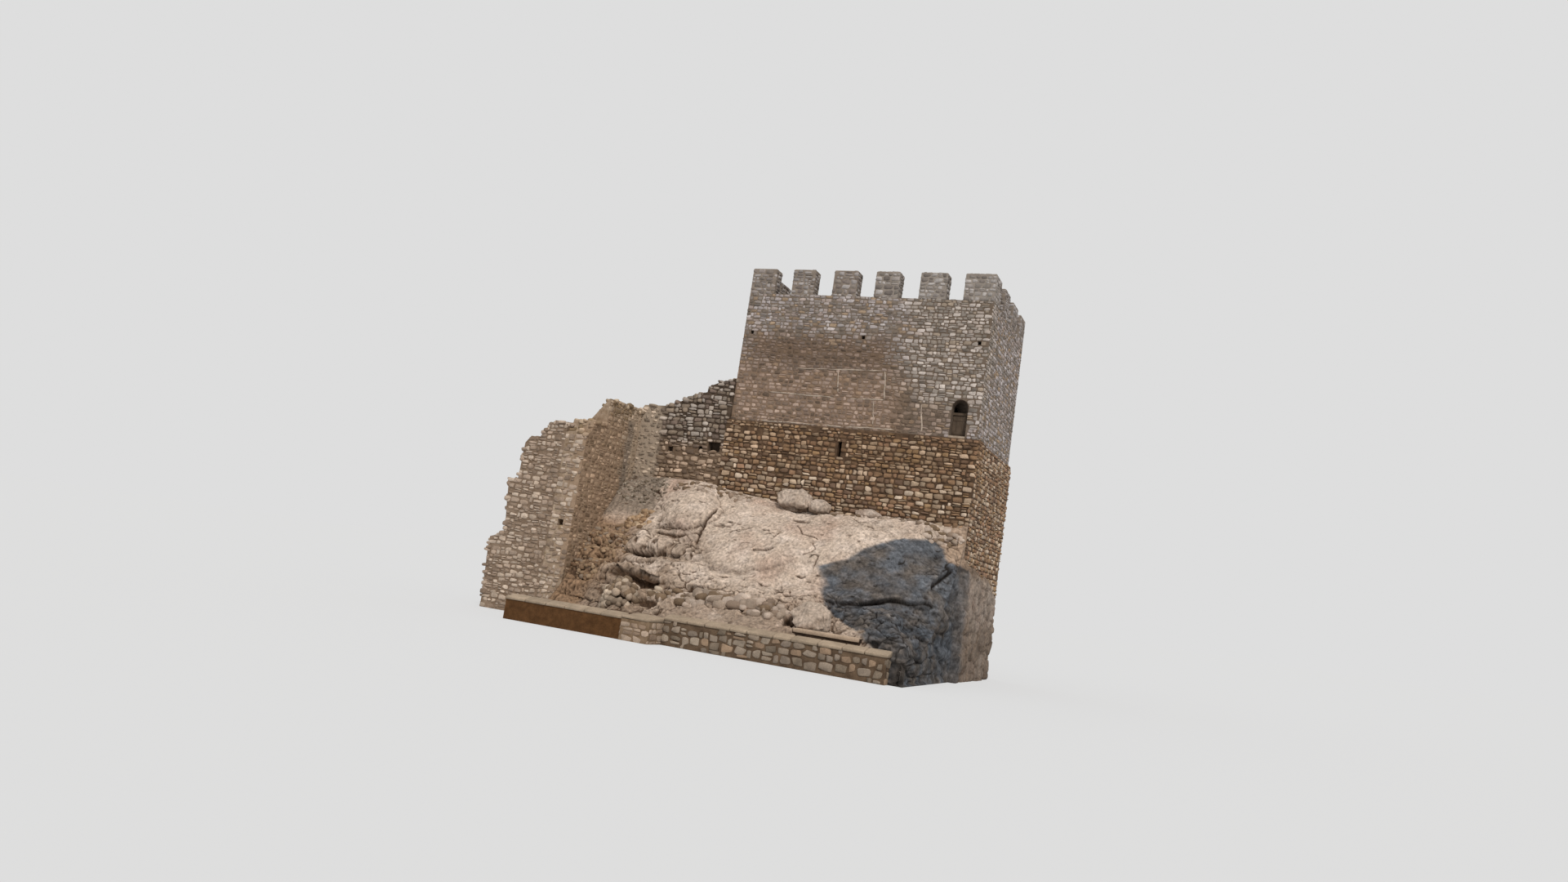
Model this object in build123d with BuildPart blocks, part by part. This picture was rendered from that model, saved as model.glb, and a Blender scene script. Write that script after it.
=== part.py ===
"""Ruined castle on a rock: a battlemented keep, its curtain wall, a broken turret and a low garden wall.

Millimetres, +Z up, front face towards -Y. The origin is the centre of the footprint box, on the ground.
Plan sizes below are told from the left front corner of the keep's upper stage: along the front to the
right, and forward from the front face.
"""
import os

from build123d import *

# Keep, upper stage
keep_width = 12150
keep_depth = 7680
keep_wall = 1250
band_height = 10610
sill_height = 17000
terrace_drop = 1000
terrace_slab = 350
floor_slab = 250

# Keep, lower stage: it stands proud of the upper one and is thicker inside, as a ledge for the floor
base_offset = 120
base_wall = 1600
base_chamfer = 60

# Battlements
parapet_wall = 650
merlon_height = 1280
merlon_chamfer = 40
front_merlon_start_shares = (0.0, 0.1795, 0.354, 0.5285, 0.708, 0.8825)
front_merlon_end_shares = (0.105, 0.2735, 0.4535, 0.625, 0.8135, 1.0)
side_merlon_length = 1230
side_merlon_count = 4

# Doorway high in the front wall
door_width = 750
door_from_right = 925
door_rise = 1300
door_recess = 500
door_skew = 780
door_leaf_height = 1020
door_leaf_thickness = 70
transom_height = 110
transom_depth = 140
sill_stone_height = 90
sill_stone_depth = 620

# Arrow loop in the lower stage
loop_width = 180
loop_height = 730
loop_foot = 9240
loop_from_left = 5840
loop_throat = 350
loop_splay_width = 760
loop_splay_height = 1150

# Scaffold holes in the upper front wall
putlog_size = 170
putlog_depth = 420
putlog_height = 15020
putlog_shares = (0.0355, 0.51, 0.9655)

# Curtain wall, broken down in steps from the keep to its left end
curtain_length = 6020
curtain_wall_thickness = 1420
curtain_height = 12600
curtain_top_shares = (
    (0.11, 0.987),
    (0.23, 0.962),
    (0.238, 0.939),
    (0.355, 0.925),
    (0.435, 0.899),
    (0.60, 0.872),
    (0.80, 0.869),
    (0.83, 0.846),
    (1.0, 0.842),
)
niche_width = 650
niche_height = 500
niche_depth = 450
niche_from_keep = 605
niche_foot = 8890
hole_size = 280
hole_depth = 350
hole_from_keep = 2970
hole_foot = 8690
small_hole_size = 220
small_hole_from_keep = 1330
small_hole_foot = 8900

# Flank wall, coming forward from the left end of the curtain wall
flank_wall_thickness = 1150
flank_reach = 4580
flank_height = 10680
flank_top_shares = (
    (0.30, 0.996),
    (0.67, 0.990),
    (0.68, 0.872),
    (0.90, 0.867),
    (0.925, 0.818),
    (1.0, 0.803),
)
flank_crumble = 1500
flank_hole_size = 300
flank_hole_depth = 450
flank_hole_from_right = 610
flank_hole_foot = 4230

# Turret front wall, left of the flank wall and flush with its front end
turret_width = 3200
turret_wall = 1100
turret_height = 9070
turret_top_shares = (
    (0.0, 0.987),
    (0.12, 1.0),
    (0.22, 0.998),
    (0.32, 0.973),
    (0.44, 0.905),
    (0.59, 0.908),
    (0.68, 0.869),
    (0.695, 0.676),
    (0.853, 0.670),
    (0.82, 0.568),
    (0.762, 0.407),
    (0.819, 0.384),
    (1.0, 0.363),
    (1.0, 0.294),
    (0.956, 0.067),
)

# Low wall along the foot of the rock, its end pier and the stretch left of the pier
low_wall_forward = 8000
low_wall_thickness = 450
low_wall_height = 1100
low_wall_right = 11700
coping_height = 120
coping_overhang = 50
coping_wear = 35
pier_right = 2400
pier_width = 1280
pier_forward = 9120
pier_height = 950
pier_cap_height = 100
pier_cap_overhang = 40
left_wall_length = 5600
left_wall_forward = 9050
left_wall_thickness = 450
left_wall_height = 920
left_coping_height = 110
left_coping_overhang = 40

# Rock crag that carries the keep: sections from left to right, each with its place along the rock and
# its profile from the wall foot forward, as shares of the rock's length, reach and height
rock_height = 7500
rock_section_shares = (
    (
        0.0,
        ((0.0, 0.975), (0.10, 0.90), (0.18, 0.81), (0.25, 0.72), (0.36, 0.59))
        + ((0.44, 0.48), (0.52, 0.37), (0.61, 0.23), (0.73, 0.11)),
    ),
    (
        0.10,
        ((0.0, 0.99), (0.09, 0.93), (0.17, 0.81), (0.25, 0.70), (0.40, 0.50))
        + ((0.49, 0.40), (0.58, 0.365), (0.62, 0.25), (0.78, 0.11)),
    ),
    (
        0.18,
        ((0.0, 0.99), (0.10, 0.95), (0.20, 0.83), (0.28, 0.72), (0.40, 0.57))
        + ((0.46, 0.43), (0.62, 0.375), (0.66, 0.26), (0.86, 0.115)),
    ),
    (
        0.262,
        ((0.0, 0.975), (0.10, 0.965), (0.24, 0.85), (0.34, 0.70), (0.40, 0.54))
        + ((0.52, 0.43), (0.68, 0.37), (0.72, 0.27), (1.0, 0.13)),
    ),
    (
        0.344,
        ((0.0, 0.945), (0.11, 0.915), (0.22, 0.79), (0.33, 0.68), (0.43, 0.57))
        + ((0.56, 0.45), (0.68, 0.375), (0.72, 0.28), (1.0, 0.13)),
    ),
    (
        0.43,
        ((0.0, 0.925), (0.11, 0.89), (0.22, 0.79), (0.33, 0.69), (0.45, 0.58))
        + ((0.57, 0.46), (0.68, 0.37), (0.76, 0.27), (1.0, 0.13)),
    ),
    (
        0.56,
        ((0.0, 0.88), (0.11, 0.85), (0.20, 0.80), (0.30, 0.74), (0.43, 0.62))
        + ((0.56, 0.50), (0.68, 0.38), (0.80, 0.24), (1.0, 0.13)),
    ),
    (
        0.68,
        ((0.0, 0.885), (0.12, 0.857), (0.21, 0.81), (0.30, 0.745), (0.40, 0.65))
        + ((0.50, 0.545), (0.62, 0.40), (0.74, 0.27), (1.0, 0.13)),
    ),
    (
        0.76,
        ((0.0, 0.89), (0.13, 0.86), (0.22, 0.81), (0.30, 0.75), (0.45, 0.585))
        + ((0.62, 0.375), (0.65, 0.315), (0.80, 0.24), (1.0, 0.13)),
    ),
    (
        0.83,
        ((0.0, 0.895), (0.13, 0.855), (0.22, 0.77), (0.30, 0.70), (0.45, 0.53))
        + ((0.61, 0.405), (0.64, 0.325), (0.80, 0.25), (1.0, 0.13)),
    ),
    (
        0.90,
        ((0.0, 0.90), (0.13, 0.85), (0.20, 0.77), (0.27, 0.68), (0.36, 0.55))
        + ((0.48, 0.44), (0.51, 0.355), (0.70, 0.30), (1.0, 0.13)),
    ),
    (
        1.0,
        ((0.0, 0.93), (0.03, 0.79), (0.08, 0.70), (0.14, 0.62), (0.22, 0.52))
        + ((0.34, 0.42), (0.37, 0.345), (0.66, 0.18), (1.0, 0.12)),
    ),
)

# Boulders: the place of each as shares of the rock's length, reach and height, and its own three sizes
outcrop_left_place_shares = (0.526, 0.054, 0.86)
outcrop_left_size = (1600, 800, 1000)
outcrop_middle_place_shares = (0.602, 0.0485, 0.82)
outcrop_middle_size = (1050, 720, 980)
outcrop_right_place_shares = (0.742, 0.047, 0.815)
outcrop_right_size = (1200, 700, 800)
toe_boulder_place_shares = (0.754, 0.852, 0.125)
toe_boulder_size = (1600, 1150, 1500)
rubble_heap_place_shares = (0.256, 0.86, 0.0)
rubble_heap_size = (2000, 1600, 2200)
boulder_outline_shares = (
    (0.50, 0.06),
    (0.33, 0.40),
    (-0.05, 0.50),
    (-0.38, 0.36),
    (-0.50, -0.02),
    (-0.34, -0.40),
    (0.04, -0.50),
    (0.40, -0.34),
)
boulder_girth_shares = ((0.0, 0.95), (0.35, 1.0), (0.72, 0.82), (1.0, 0.42))
heap_girth_shares = ((0.0, 1.0), (0.42, 0.88), (0.78, 0.60), (1.0, 0.25))
kerb_place_shares = (0.730, 0.977, 0.10)
kerb_length = 2750
kerb_breadth = 420
kerb_height = 720

# Levels and places that follow from the sizes above
terrace_top = sill_height - terrace_drop
wall_top = terrace_top - terrace_slab
door_sill = band_height + sill_stone_height
door_spring = door_sill + door_rise
door_centre = keep_width - door_from_right
door_left = door_centre - door_width / 2
door_right = door_centre + door_width / 2
transom_foot = door_sill + door_leaf_height
rock_back = base_offset
rock_front = low_wall_forward - low_wall_thickness
rock_reach = rock_front - rock_back
rock_left = -curtain_length + flank_wall_thickness
rock_right = keep_width + base_offset
rock_length = rock_right - rock_left
flank_front = rock_back + flank_reach
turret_right = -curtain_length
turret_left = turret_right - turret_width
pier_left = pier_right - pier_width
left_wall_left = pier_left - left_wall_length

# The site's own corner of measurement, set so that the footprint box is centred on the origin
site_x = -(turret_left + rock_right) / 2
site_y = (pier_forward + pier_cap_overhang - keep_depth - base_offset) / 2

pieces = []


def plan(level):
    """Level plane at a height, drawn in site plan."""
    return Plane(origin=(site_x, site_y, level), x_dir=(1, 0, 0), z_dir=(0, 0, 1))


def elevation(forward):
    """Upright plane facing the front, a length forward of the keep's front face."""
    return Plane(origin=(site_x, site_y - forward, 0), x_dir=(1, 0, 0), z_dir=(0, -1, 0))


def cross_section(along):
    """Upright plane facing right, a length along the front from the keep's left corner."""
    return Plane(origin=(site_x + along, site_y, 0), x_dir=(0, 1, 0), z_dir=(1, 0, 0))


def box_outline(low_a, high_a, low_b, high_b):
    """Rectangle in the sketch being drawn, given by its two pairs of edges."""
    with Locations(((low_a + high_a) / 2, (low_b + high_b) / 2)):
        Rectangle(high_a - low_a, high_b - low_b)


def rock_place(place_shares):
    """Point in site plan, from shares of the rock's length and reach."""
    return (rock_left + place_shares[0] * rock_length, -rock_back - place_shares[1] * rock_reach)


def rock_point(along, forward, rise):
    """Point of the rock in space, from shares of its length, reach and height."""
    across = site_x + rock_left + along * rock_length
    return (across, site_y - rock_back - forward * rock_reach, rise * rock_height)


def facet(*corners):
    """Flat face between corners in order."""
    return Face(Wire.make_polygon(corners, close=True))


def rock_level(place_shares):
    """Height above the ground, from a share of the rock's height."""
    return place_shares[2] * rock_height


def boulder_outline(length, breadth):
    """Eight-sided outline of a boulder in the sketch being drawn."""
    Polygon(*[(across * length, along * breadth) for across, along in boulder_outline_shares], align=None)


def keep_piece(builder, label):
    """Label a finished piece and put it on the list of pieces to be written."""
    builder.part.label = label
    pieces.append(builder.part)


# Lower stage of the keep: front and back walls run the full width, side walls fit between them
with BuildPart() as keep_base_front:
    with BuildSketch(elevation(base_offset)):
        box_outline(-base_offset, keep_width + base_offset, 0, band_height)
    extrude(amount=-base_wall)
    chamfer(keep_base_front.faces().sort_by(Axis.Y)[0].edges().sort_by(Axis.Z)[-1], length=base_chamfer)
    with BuildSketch(elevation(base_offset)):
        box_outline(
            loop_from_left - loop_width / 2,
            loop_from_left + loop_width / 2,
            loop_foot,
            loop_foot + loop_height,
        )
    extrude(amount=-loop_throat, mode=Mode.SUBTRACT)
    with BuildSketch(elevation(base_offset - loop_throat)):
        with Locations((loop_from_left, loop_foot + loop_height / 2)):
            Rectangle(loop_width, loop_height)
    with BuildSketch(elevation(base_offset - base_wall)):
        with Locations((loop_from_left, loop_foot + loop_height / 2)):
            Rectangle(loop_splay_width, loop_splay_height)
    loft(ruled=True, mode=Mode.SUBTRACT)
keep_piece(keep_base_front, "keep_base_front")

with BuildPart() as keep_base_back:
    with BuildSketch(elevation(-(keep_depth + base_offset))):
        box_outline(-base_offset, keep_width + base_offset, 0, band_height)
    extrude(amount=base_wall)
    chamfer(keep_base_back.faces().sort_by(Axis.Y)[-1].edges().sort_by(Axis.Z)[-1], length=base_chamfer)
keep_piece(keep_base_back, "keep_base_back")

base_inner_front = base_wall - base_offset
base_inner_back = keep_depth - base_inner_front

with BuildPart() as keep_base_left:
    with BuildSketch(cross_section(-base_offset)):
        box_outline(base_inner_front, base_inner_back, 0, band_height)
    extrude(amount=base_wall)
    chamfer(keep_base_left.faces().sort_by(Axis.X)[0].edges().sort_by(Axis.Z)[-1], length=base_chamfer)
keep_piece(keep_base_left, "keep_base_left")

with BuildPart() as keep_base_right:
    with BuildSketch(cross_section(keep_width + base_offset)):
        box_outline(base_inner_front, base_inner_back, 0, band_height)
    extrude(amount=-base_wall)
    chamfer(keep_base_right.faces().sort_by(Axis.X)[-1].edges().sort_by(Axis.Z)[-1], length=base_chamfer)
keep_piece(keep_base_right, "keep_base_right")

# Upper stage of the keep
with BuildPart() as keep_front_wall:
    with BuildSketch(elevation(0)):
        box_outline(0, keep_width, band_height, wall_top)
    extrude(amount=-keep_wall)
    with BuildSketch(elevation(0)):
        box_outline(door_left, door_right, band_height, door_spring)
        with Locations((door_centre, door_spring)):
            Circle(door_width / 2)
    extrude(amount=-door_recess, mode=Mode.SUBTRACT)
    with BuildSketch(elevation(-door_recess)):
        box_outline(door_left, door_right, band_height, door_spring)
        with Locations((door_centre, door_spring)):
            Circle(door_width / 2)
    with BuildSketch(elevation(-keep_wall)):
        box_outline(door_left - door_skew, door_right - door_skew, band_height, door_spring)
        with Locations((door_centre - door_skew, door_spring)):
            Circle(door_width / 2)
    loft(ruled=True, mode=Mode.SUBTRACT)
    with BuildSketch(elevation(0)):
        with Locations(*[(share * keep_width, putlog_height) for share in putlog_shares]):
            Rectangle(putlog_size, putlog_size)
    extrude(amount=-putlog_depth, mode=Mode.SUBTRACT)
keep_piece(keep_front_wall, "keep_front_wall")

with BuildPart() as keep_back_wall:
    with BuildSketch(elevation(-keep_depth)):
        box_outline(0, keep_width, band_height, wall_top)
    extrude(amount=keep_wall)
keep_piece(keep_back_wall, "keep_back_wall")

with BuildPart() as keep_left_wall:
    with BuildSketch(cross_section(0)):
        box_outline(keep_wall, keep_depth - keep_wall, band_height, wall_top)
    extrude(amount=keep_wall)
keep_piece(keep_left_wall, "keep_left_wall")

with BuildPart() as keep_right_wall:
    with BuildSketch(cross_section(keep_width)):
        box_outline(keep_wall, keep_depth - keep_wall, band_height, wall_top)
    extrude(amount=-keep_wall)
keep_piece(keep_right_wall, "keep_right_wall")

# Floor at the doorway and roof terrace behind the parapet
with BuildPart() as room_floor:
    with BuildSketch(plan(band_height)):
        box_outline(keep_wall, keep_width - keep_wall, keep_wall, keep_depth - keep_wall)
    extrude(amount=floor_slab)
keep_piece(room_floor, "room_floor")

with BuildPart() as roof_terrace:
    with BuildSketch(plan(wall_top)):
        box_outline(parapet_wall, keep_width - parapet_wall, parapet_wall, keep_depth - parapet_wall)
    extrude(amount=terrace_slab)
keep_piece(roof_terrace, "roof_terrace")

# Parapet walls on the outer part of the wall heads
with BuildPart() as front_parapet:
    with BuildSketch(plan(wall_top)):
        box_outline(0, keep_width, 0, parapet_wall)
    extrude(amount=sill_height - wall_top)
keep_piece(front_parapet, "front_parapet")

with BuildPart() as back_parapet:
    with BuildSketch(plan(wall_top)):
        box_outline(0, keep_width, keep_depth - parapet_wall, keep_depth)
    extrude(amount=sill_height - wall_top)
keep_piece(back_parapet, "back_parapet")

with BuildPart() as left_parapet:
    with BuildSketch(plan(wall_top)):
        box_outline(0, parapet_wall, parapet_wall, keep_depth - parapet_wall)
    extrude(amount=sill_height - wall_top)
keep_piece(left_parapet, "left_parapet")

with BuildPart() as right_parapet:
    with BuildSketch(plan(wall_top)):
        box_outline(keep_width - parapet_wall, keep_width, parapet_wall, keep_depth - parapet_wall)
    extrude(amount=sill_height - wall_top)
keep_piece(right_parapet, "right_parapet")

# Merlons: six on the front, each its own piece, and a set on each of the other sides
for number, (start, end) in enumerate(zip(front_merlon_start_shares, front_merlon_end_shares), start=1):
    with BuildPart() as front_merlon:
        with BuildSketch(plan(sill_height)):
            box_outline(start * keep_width, end * keep_width, 0, parapet_wall)
        extrude(amount=merlon_height)
        chamfer(front_merlon.faces().sort_by(Axis.Z)[-1].edges(), length=merlon_chamfer)
    keep_piece(front_merlon, f"front_merlon_{number}")

with BuildPart() as back_merlons:
    with BuildSketch(plan(sill_height)):
        for start, end in zip(front_merlon_start_shares, front_merlon_end_shares):
            box_outline(
                (1 - end) * keep_width,
                (1 - start) * keep_width,
                keep_depth - parapet_wall,
                keep_depth,
            )
    extrude(amount=merlon_height)
    chamfer(back_merlons.faces().group_by(Axis.Z)[-1].edges(), length=merlon_chamfer)
keep_piece(back_merlons, "back_merlons")

side_merlon_period = (keep_depth - side_merlon_length) / (side_merlon_count - 1)
side_merlon_starts = [number * side_merlon_period for number in range(side_merlon_count)]

with BuildPart() as left_merlons:
    with BuildSketch(plan(sill_height)):
        for start in side_merlon_starts:
            box_outline(
                0,
                parapet_wall,
                max(start, parapet_wall),
                min(start + side_merlon_length, keep_depth - parapet_wall),
            )
    extrude(amount=merlon_height)
    chamfer(left_merlons.faces().group_by(Axis.Z)[-1].edges(), length=merlon_chamfer)
keep_piece(left_merlons, "left_merlons")

with BuildPart() as right_merlons:
    with BuildSketch(plan(sill_height)):
        for start in side_merlon_starts:
            box_outline(
                keep_width - parapet_wall,
                keep_width,
                max(start, parapet_wall),
                min(start + side_merlon_length, keep_depth - parapet_wall),
            )
    extrude(amount=merlon_height)
    chamfer(right_merlons.faces().group_by(Axis.Z)[-1].edges(), length=merlon_chamfer)
keep_piece(right_merlons, "right_merlons")

# Door: sill stone, fixed leaf and the transom over it, with the arch head left open
with BuildPart() as door_sill_stone:
    with BuildSketch(plan(band_height)):
        box_outline(door_left, door_right, -base_offset / 2, sill_stone_depth - base_offset / 2)
    extrude(amount=sill_stone_height)
    add(keep_front_wall.part, mode=Mode.SUBTRACT)
keep_piece(door_sill_stone, "door_sill_stone")

with BuildPart() as door_leaf:
    with BuildSketch(elevation(-(door_recess - door_leaf_thickness))):
        box_outline(door_left, door_right, door_sill, transom_foot)
    extrude(amount=-door_leaf_thickness)
keep_piece(door_leaf, "door_leaf")

with BuildPart() as door_transom:
    with BuildSketch(elevation(-(door_recess - transom_depth))):
        box_outline(door_left, door_right, transom_foot, transom_foot + transom_height)
    extrude(amount=-transom_depth)
keep_piece(door_transom, "door_transom")

# Curtain wall with its broken top, a niche and two small holes
curtain_outline = [
    (-base_offset, 0),
    (-base_offset, band_height),
    (0, band_height),
    (0, curtain_height),
]
curtain_outline += [(-along * curtain_length, rise * curtain_height) for along, rise in curtain_top_shares]
curtain_outline += [(-curtain_length, 0)]

with BuildPart() as curtain_wall:
    with BuildSketch(elevation(base_offset)):
        with BuildLine():
            Polyline(*curtain_outline, close=True)
        make_face()
    extrude(amount=-curtain_wall_thickness)
    with BuildSketch(elevation(base_offset)):
        with Locations((-niche_from_keep, niche_foot + niche_height / 2)):
            Rectangle(niche_width, niche_height)
    extrude(amount=-niche_depth, mode=Mode.SUBTRACT)
    with BuildSketch(elevation(base_offset)):
        with Locations((-hole_from_keep, hole_foot + hole_size / 2)):
            Rectangle(hole_size, hole_size)
        with Locations((-small_hole_from_keep, small_hole_foot + small_hole_size / 2)):
            Rectangle(small_hole_size, small_hole_size)
    extrude(amount=-hole_depth, mode=Mode.SUBTRACT)
    add(keep_base_front.part, mode=Mode.SUBTRACT)
keep_piece(curtain_wall, "curtain_wall")

# Flank wall, in profile from the curtain wall's face forward, its top crumbled down to the outside
flank_outline = [(-rock_back, 0), (-rock_back, flank_height)]
flank_outline += [(-rock_back - reach * flank_reach, rise * flank_height) for reach, rise in flank_top_shares]
flank_outline += [(-flank_front, 0)]

with BuildPart() as flank_wall:
    with BuildSketch(cross_section(-curtain_length)):
        with BuildLine():
            Polyline(*flank_outline, close=True)
        make_face()
    extrude(amount=flank_wall_thickness)
    with BuildSketch(elevation(flank_front)):
        with BuildLine():
            Polyline(
                (rock_left, flank_height),
                (-curtain_length, flank_height),
                (-curtain_length, flank_height - flank_crumble),
                close=True,
            )
        make_face()
    extrude(amount=-flank_reach, mode=Mode.SUBTRACT)
    with BuildSketch(elevation(flank_front)):
        with Locations((rock_left - flank_hole_from_right, flank_hole_foot + flank_hole_size / 2)):
            Rectangle(flank_hole_size, flank_hole_size)
    extrude(amount=-flank_hole_depth, mode=Mode.SUBTRACT)
keep_piece(flank_wall, "flank_wall")

# Turret front wall, broken down to the left
turret_outline = [(turret_right, 0)]
turret_outline += [
    (turret_right - along * turret_width, rise * turret_height) for along, rise in turret_top_shares
]
turret_outline += [(turret_right - turret_top_shares[-1][0] * turret_width, 0)]

with BuildPart() as turret_front_wall:
    with BuildSketch(elevation(flank_front)):
        with BuildLine():
            Polyline(*turret_outline, close=True)
        make_face()
    extrude(amount=-turret_wall)
keep_piece(turret_front_wall, "turret_front_wall")

# Rock crag: flat facets between the sections, closed by the wall face, the ground and upright sides
rock_profiles = []
for along, profile in rock_section_shares:
    rock_profiles.append([rock_point(along, forward, rise) for forward, rise in profile])
rock_feet = [
    (rock_point(along, profile[0][0], 0), rock_point(along, profile[-1][0], 0))
    for along, profile in rock_section_shares
]

rock_facets = []
for left, right in zip(rock_profiles, rock_profiles[1:]):
    for left_low, left_high, right_low, right_high in zip(left, left[1:], right, right[1:]):
        rock_facets.append(facet(left_low, left_high, right_high))
        rock_facets.append(facet(left_low, right_high, right_low))
for number in range(len(rock_profiles) - 1):
    rock_facets.append(
        facet(
            rock_profiles[number][-1],
            rock_profiles[number + 1][-1],
            rock_feet[number + 1][1],
            rock_feet[number][1],
        )
    )
rock_facets.append(facet(*[profile[0] for profile in rock_profiles], rock_feet[-1][0], rock_feet[0][0]))
rock_facets.append(facet(*[feet[1] for feet in rock_feet], rock_feet[-1][0], rock_feet[0][0]))
rock_facets.append(facet(*rock_profiles[0], rock_feet[0][1], rock_feet[0][0]))
rock_facets.append(facet(*rock_profiles[-1], rock_feet[-1][1], rock_feet[-1][0]))

with BuildPart() as rock_crag:
    add(Solid(Shell(rock_facets)))
keep_piece(rock_crag, "rock_crag")

# Boulders bedded in the rock
with BuildPart() as outcrop_boulders:
    for place_shares, size in (
        (outcrop_left_place_shares, outcrop_left_size),
        (outcrop_middle_place_shares, outcrop_middle_size),
        (outcrop_right_place_shares, outcrop_right_size),
    ):
        for rise, girth in boulder_girth_shares:
            with BuildSketch(plan(rock_level(place_shares) + rise * size[2])):
                with Locations(rock_place(place_shares)):
                    boulder_outline(girth * size[0], girth * size[1])
        loft(ruled=True)
    add(rock_crag.part, mode=Mode.SUBTRACT)
    add(keep_base_front.part, mode=Mode.SUBTRACT)
keep_piece(outcrop_boulders, "outcrop_boulders")

with BuildPart() as toe_boulder:
    for rise, girth in boulder_girth_shares:
        with BuildSketch(plan(rock_level(toe_boulder_place_shares) + rise * toe_boulder_size[2])):
            with Locations(rock_place(toe_boulder_place_shares)):
                boulder_outline(girth * toe_boulder_size[0], girth * toe_boulder_size[1])
    loft(ruled=True)
    add(rock_crag.part, mode=Mode.SUBTRACT)
keep_piece(toe_boulder, "toe_boulder")

with BuildPart() as rubble_heap:
    for rise, girth in heap_girth_shares:
        with BuildSketch(plan(rock_level(rubble_heap_place_shares) + rise * rubble_heap_size[2])):
            with Locations(rock_place(rubble_heap_place_shares)):
                boulder_outline(girth * rubble_heap_size[0], girth * rubble_heap_size[1])
    loft(ruled=True)
    add(rock_crag.part, mode=Mode.SUBTRACT)
keep_piece(rubble_heap, "rubble_heap")

kerb_left, kerb_front = rock_place(kerb_place_shares)

with BuildPart() as kerb_stone:
    with BuildSketch(plan(rock_level(kerb_place_shares))):
        box_outline(kerb_left, kerb_left + kerb_length, kerb_front, kerb_front + kerb_breadth)
    extrude(amount=kerb_height)
    add(rock_crag.part, mode=Mode.SUBTRACT)
    add(toe_boulder.part, mode=Mode.SUBTRACT)
keep_piece(kerb_stone, "kerb_stone")

# Low wall, its end pier and the stretch to the left, each with its coping
with BuildPart() as low_wall:
    with BuildSketch(plan(0)):
        box_outline(pier_right, low_wall_right, -low_wall_forward, -rock_front)
    extrude(amount=low_wall_height - coping_height)
keep_piece(low_wall, "low_wall")

with BuildPart() as low_wall_coping:
    with BuildSketch(plan(low_wall_height - coping_height)):
        box_outline(
            pier_right,
            low_wall_right + coping_overhang,
            -low_wall_forward - coping_overhang,
            -rock_front + coping_overhang,
        )
    extrude(amount=coping_height)
    chamfer(low_wall_coping.edges().filter_by(Axis.X).group_by(Axis.Z)[-1], length=coping_wear)
    add(rock_crag.part, mode=Mode.SUBTRACT)
keep_piece(low_wall_coping, "low_wall_coping")

with BuildPart() as wall_pier:
    with BuildSketch(plan(0)):
        box_outline(pier_left, pier_right, -pier_forward, -rock_front)
    extrude(amount=pier_height - pier_cap_height)
keep_piece(wall_pier, "wall_pier")

with BuildPart() as pier_cap:
    with BuildSketch(plan(pier_height - pier_cap_height)):
        box_outline(
            pier_left - pier_cap_overhang,
            pier_right,
            -pier_forward - pier_cap_overhang,
            -rock_front,
        )
    extrude(amount=pier_cap_height)
    chamfer(pier_cap.faces().sort_by(Axis.Z)[-1].edges().sort_by(Axis.Y)[0], length=coping_wear)
keep_piece(pier_cap, "pier_cap")

with BuildPart() as left_low_wall:
    with BuildSketch(plan(0)):
        box_outline(
            left_wall_left,
            pier_left,
            -left_wall_forward,
            -left_wall_forward + left_wall_thickness,
        )
    extrude(amount=left_wall_height - left_coping_height)
keep_piece(left_low_wall, "left_low_wall")

with BuildPart() as left_coping:
    with BuildSketch(plan(left_wall_height - left_coping_height)):
        box_outline(
            left_wall_left - left_coping_overhang,
            pier_left,
            -left_wall_forward - left_coping_overhang,
            -left_wall_forward + left_wall_thickness + left_coping_overhang,
        )
    extrude(amount=left_coping_height)
    chamfer(left_coping.edges().filter_by(Axis.X).group_by(Axis.Z)[-1], length=coping_wear)
    add(pier_cap.part, mode=Mode.SUBTRACT)
keep_piece(left_coping, "left_coping")

os.makedirs("parts", exist_ok=True)
for piece in pieces:
    export_step(piece, f"parts/{piece.label}.step")
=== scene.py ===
"""Looks of the ruined castle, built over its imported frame.

Rubble facings, rock, timber and slabs are worked out as arrays from the frame's own faces.
Metres, +Z up, and the keep's front faces -Y.
"""
import logging
import math
from dataclasses import dataclass, replace
from enum import Enum, IntEnum

import bpy
import numpy as np
from mathutils import Matrix, Vector


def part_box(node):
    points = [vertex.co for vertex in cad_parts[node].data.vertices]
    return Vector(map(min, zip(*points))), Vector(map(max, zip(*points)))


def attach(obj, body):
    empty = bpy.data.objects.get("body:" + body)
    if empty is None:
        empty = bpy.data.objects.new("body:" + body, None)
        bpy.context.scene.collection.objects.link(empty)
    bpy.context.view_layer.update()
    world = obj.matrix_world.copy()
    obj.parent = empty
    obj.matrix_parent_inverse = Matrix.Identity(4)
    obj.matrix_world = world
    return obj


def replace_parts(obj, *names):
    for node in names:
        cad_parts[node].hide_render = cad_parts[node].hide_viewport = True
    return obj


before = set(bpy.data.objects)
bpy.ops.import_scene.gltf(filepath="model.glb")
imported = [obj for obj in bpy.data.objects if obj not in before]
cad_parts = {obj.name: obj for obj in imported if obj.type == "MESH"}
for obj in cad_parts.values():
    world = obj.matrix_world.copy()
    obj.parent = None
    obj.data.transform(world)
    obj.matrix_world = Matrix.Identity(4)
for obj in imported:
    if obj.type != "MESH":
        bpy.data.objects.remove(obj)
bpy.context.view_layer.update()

Array = np.ndarray
Colour = tuple[float, float, float]
Triple = tuple[float, float, float]
Pairs = tuple[tuple[float, float], ...]
Material = bpy.types.Material
Socket = bpy.types.NodeSocket
LOG = logging.getLogger("castle")
COLOUR_LAYER = "stone_colour"
FLAT_GAP = 1e-3
OPEN_FLOOR = -1.0
SLAB_GAP = 0.004
SIDES = ("front", "back", "left", "right")


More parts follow.
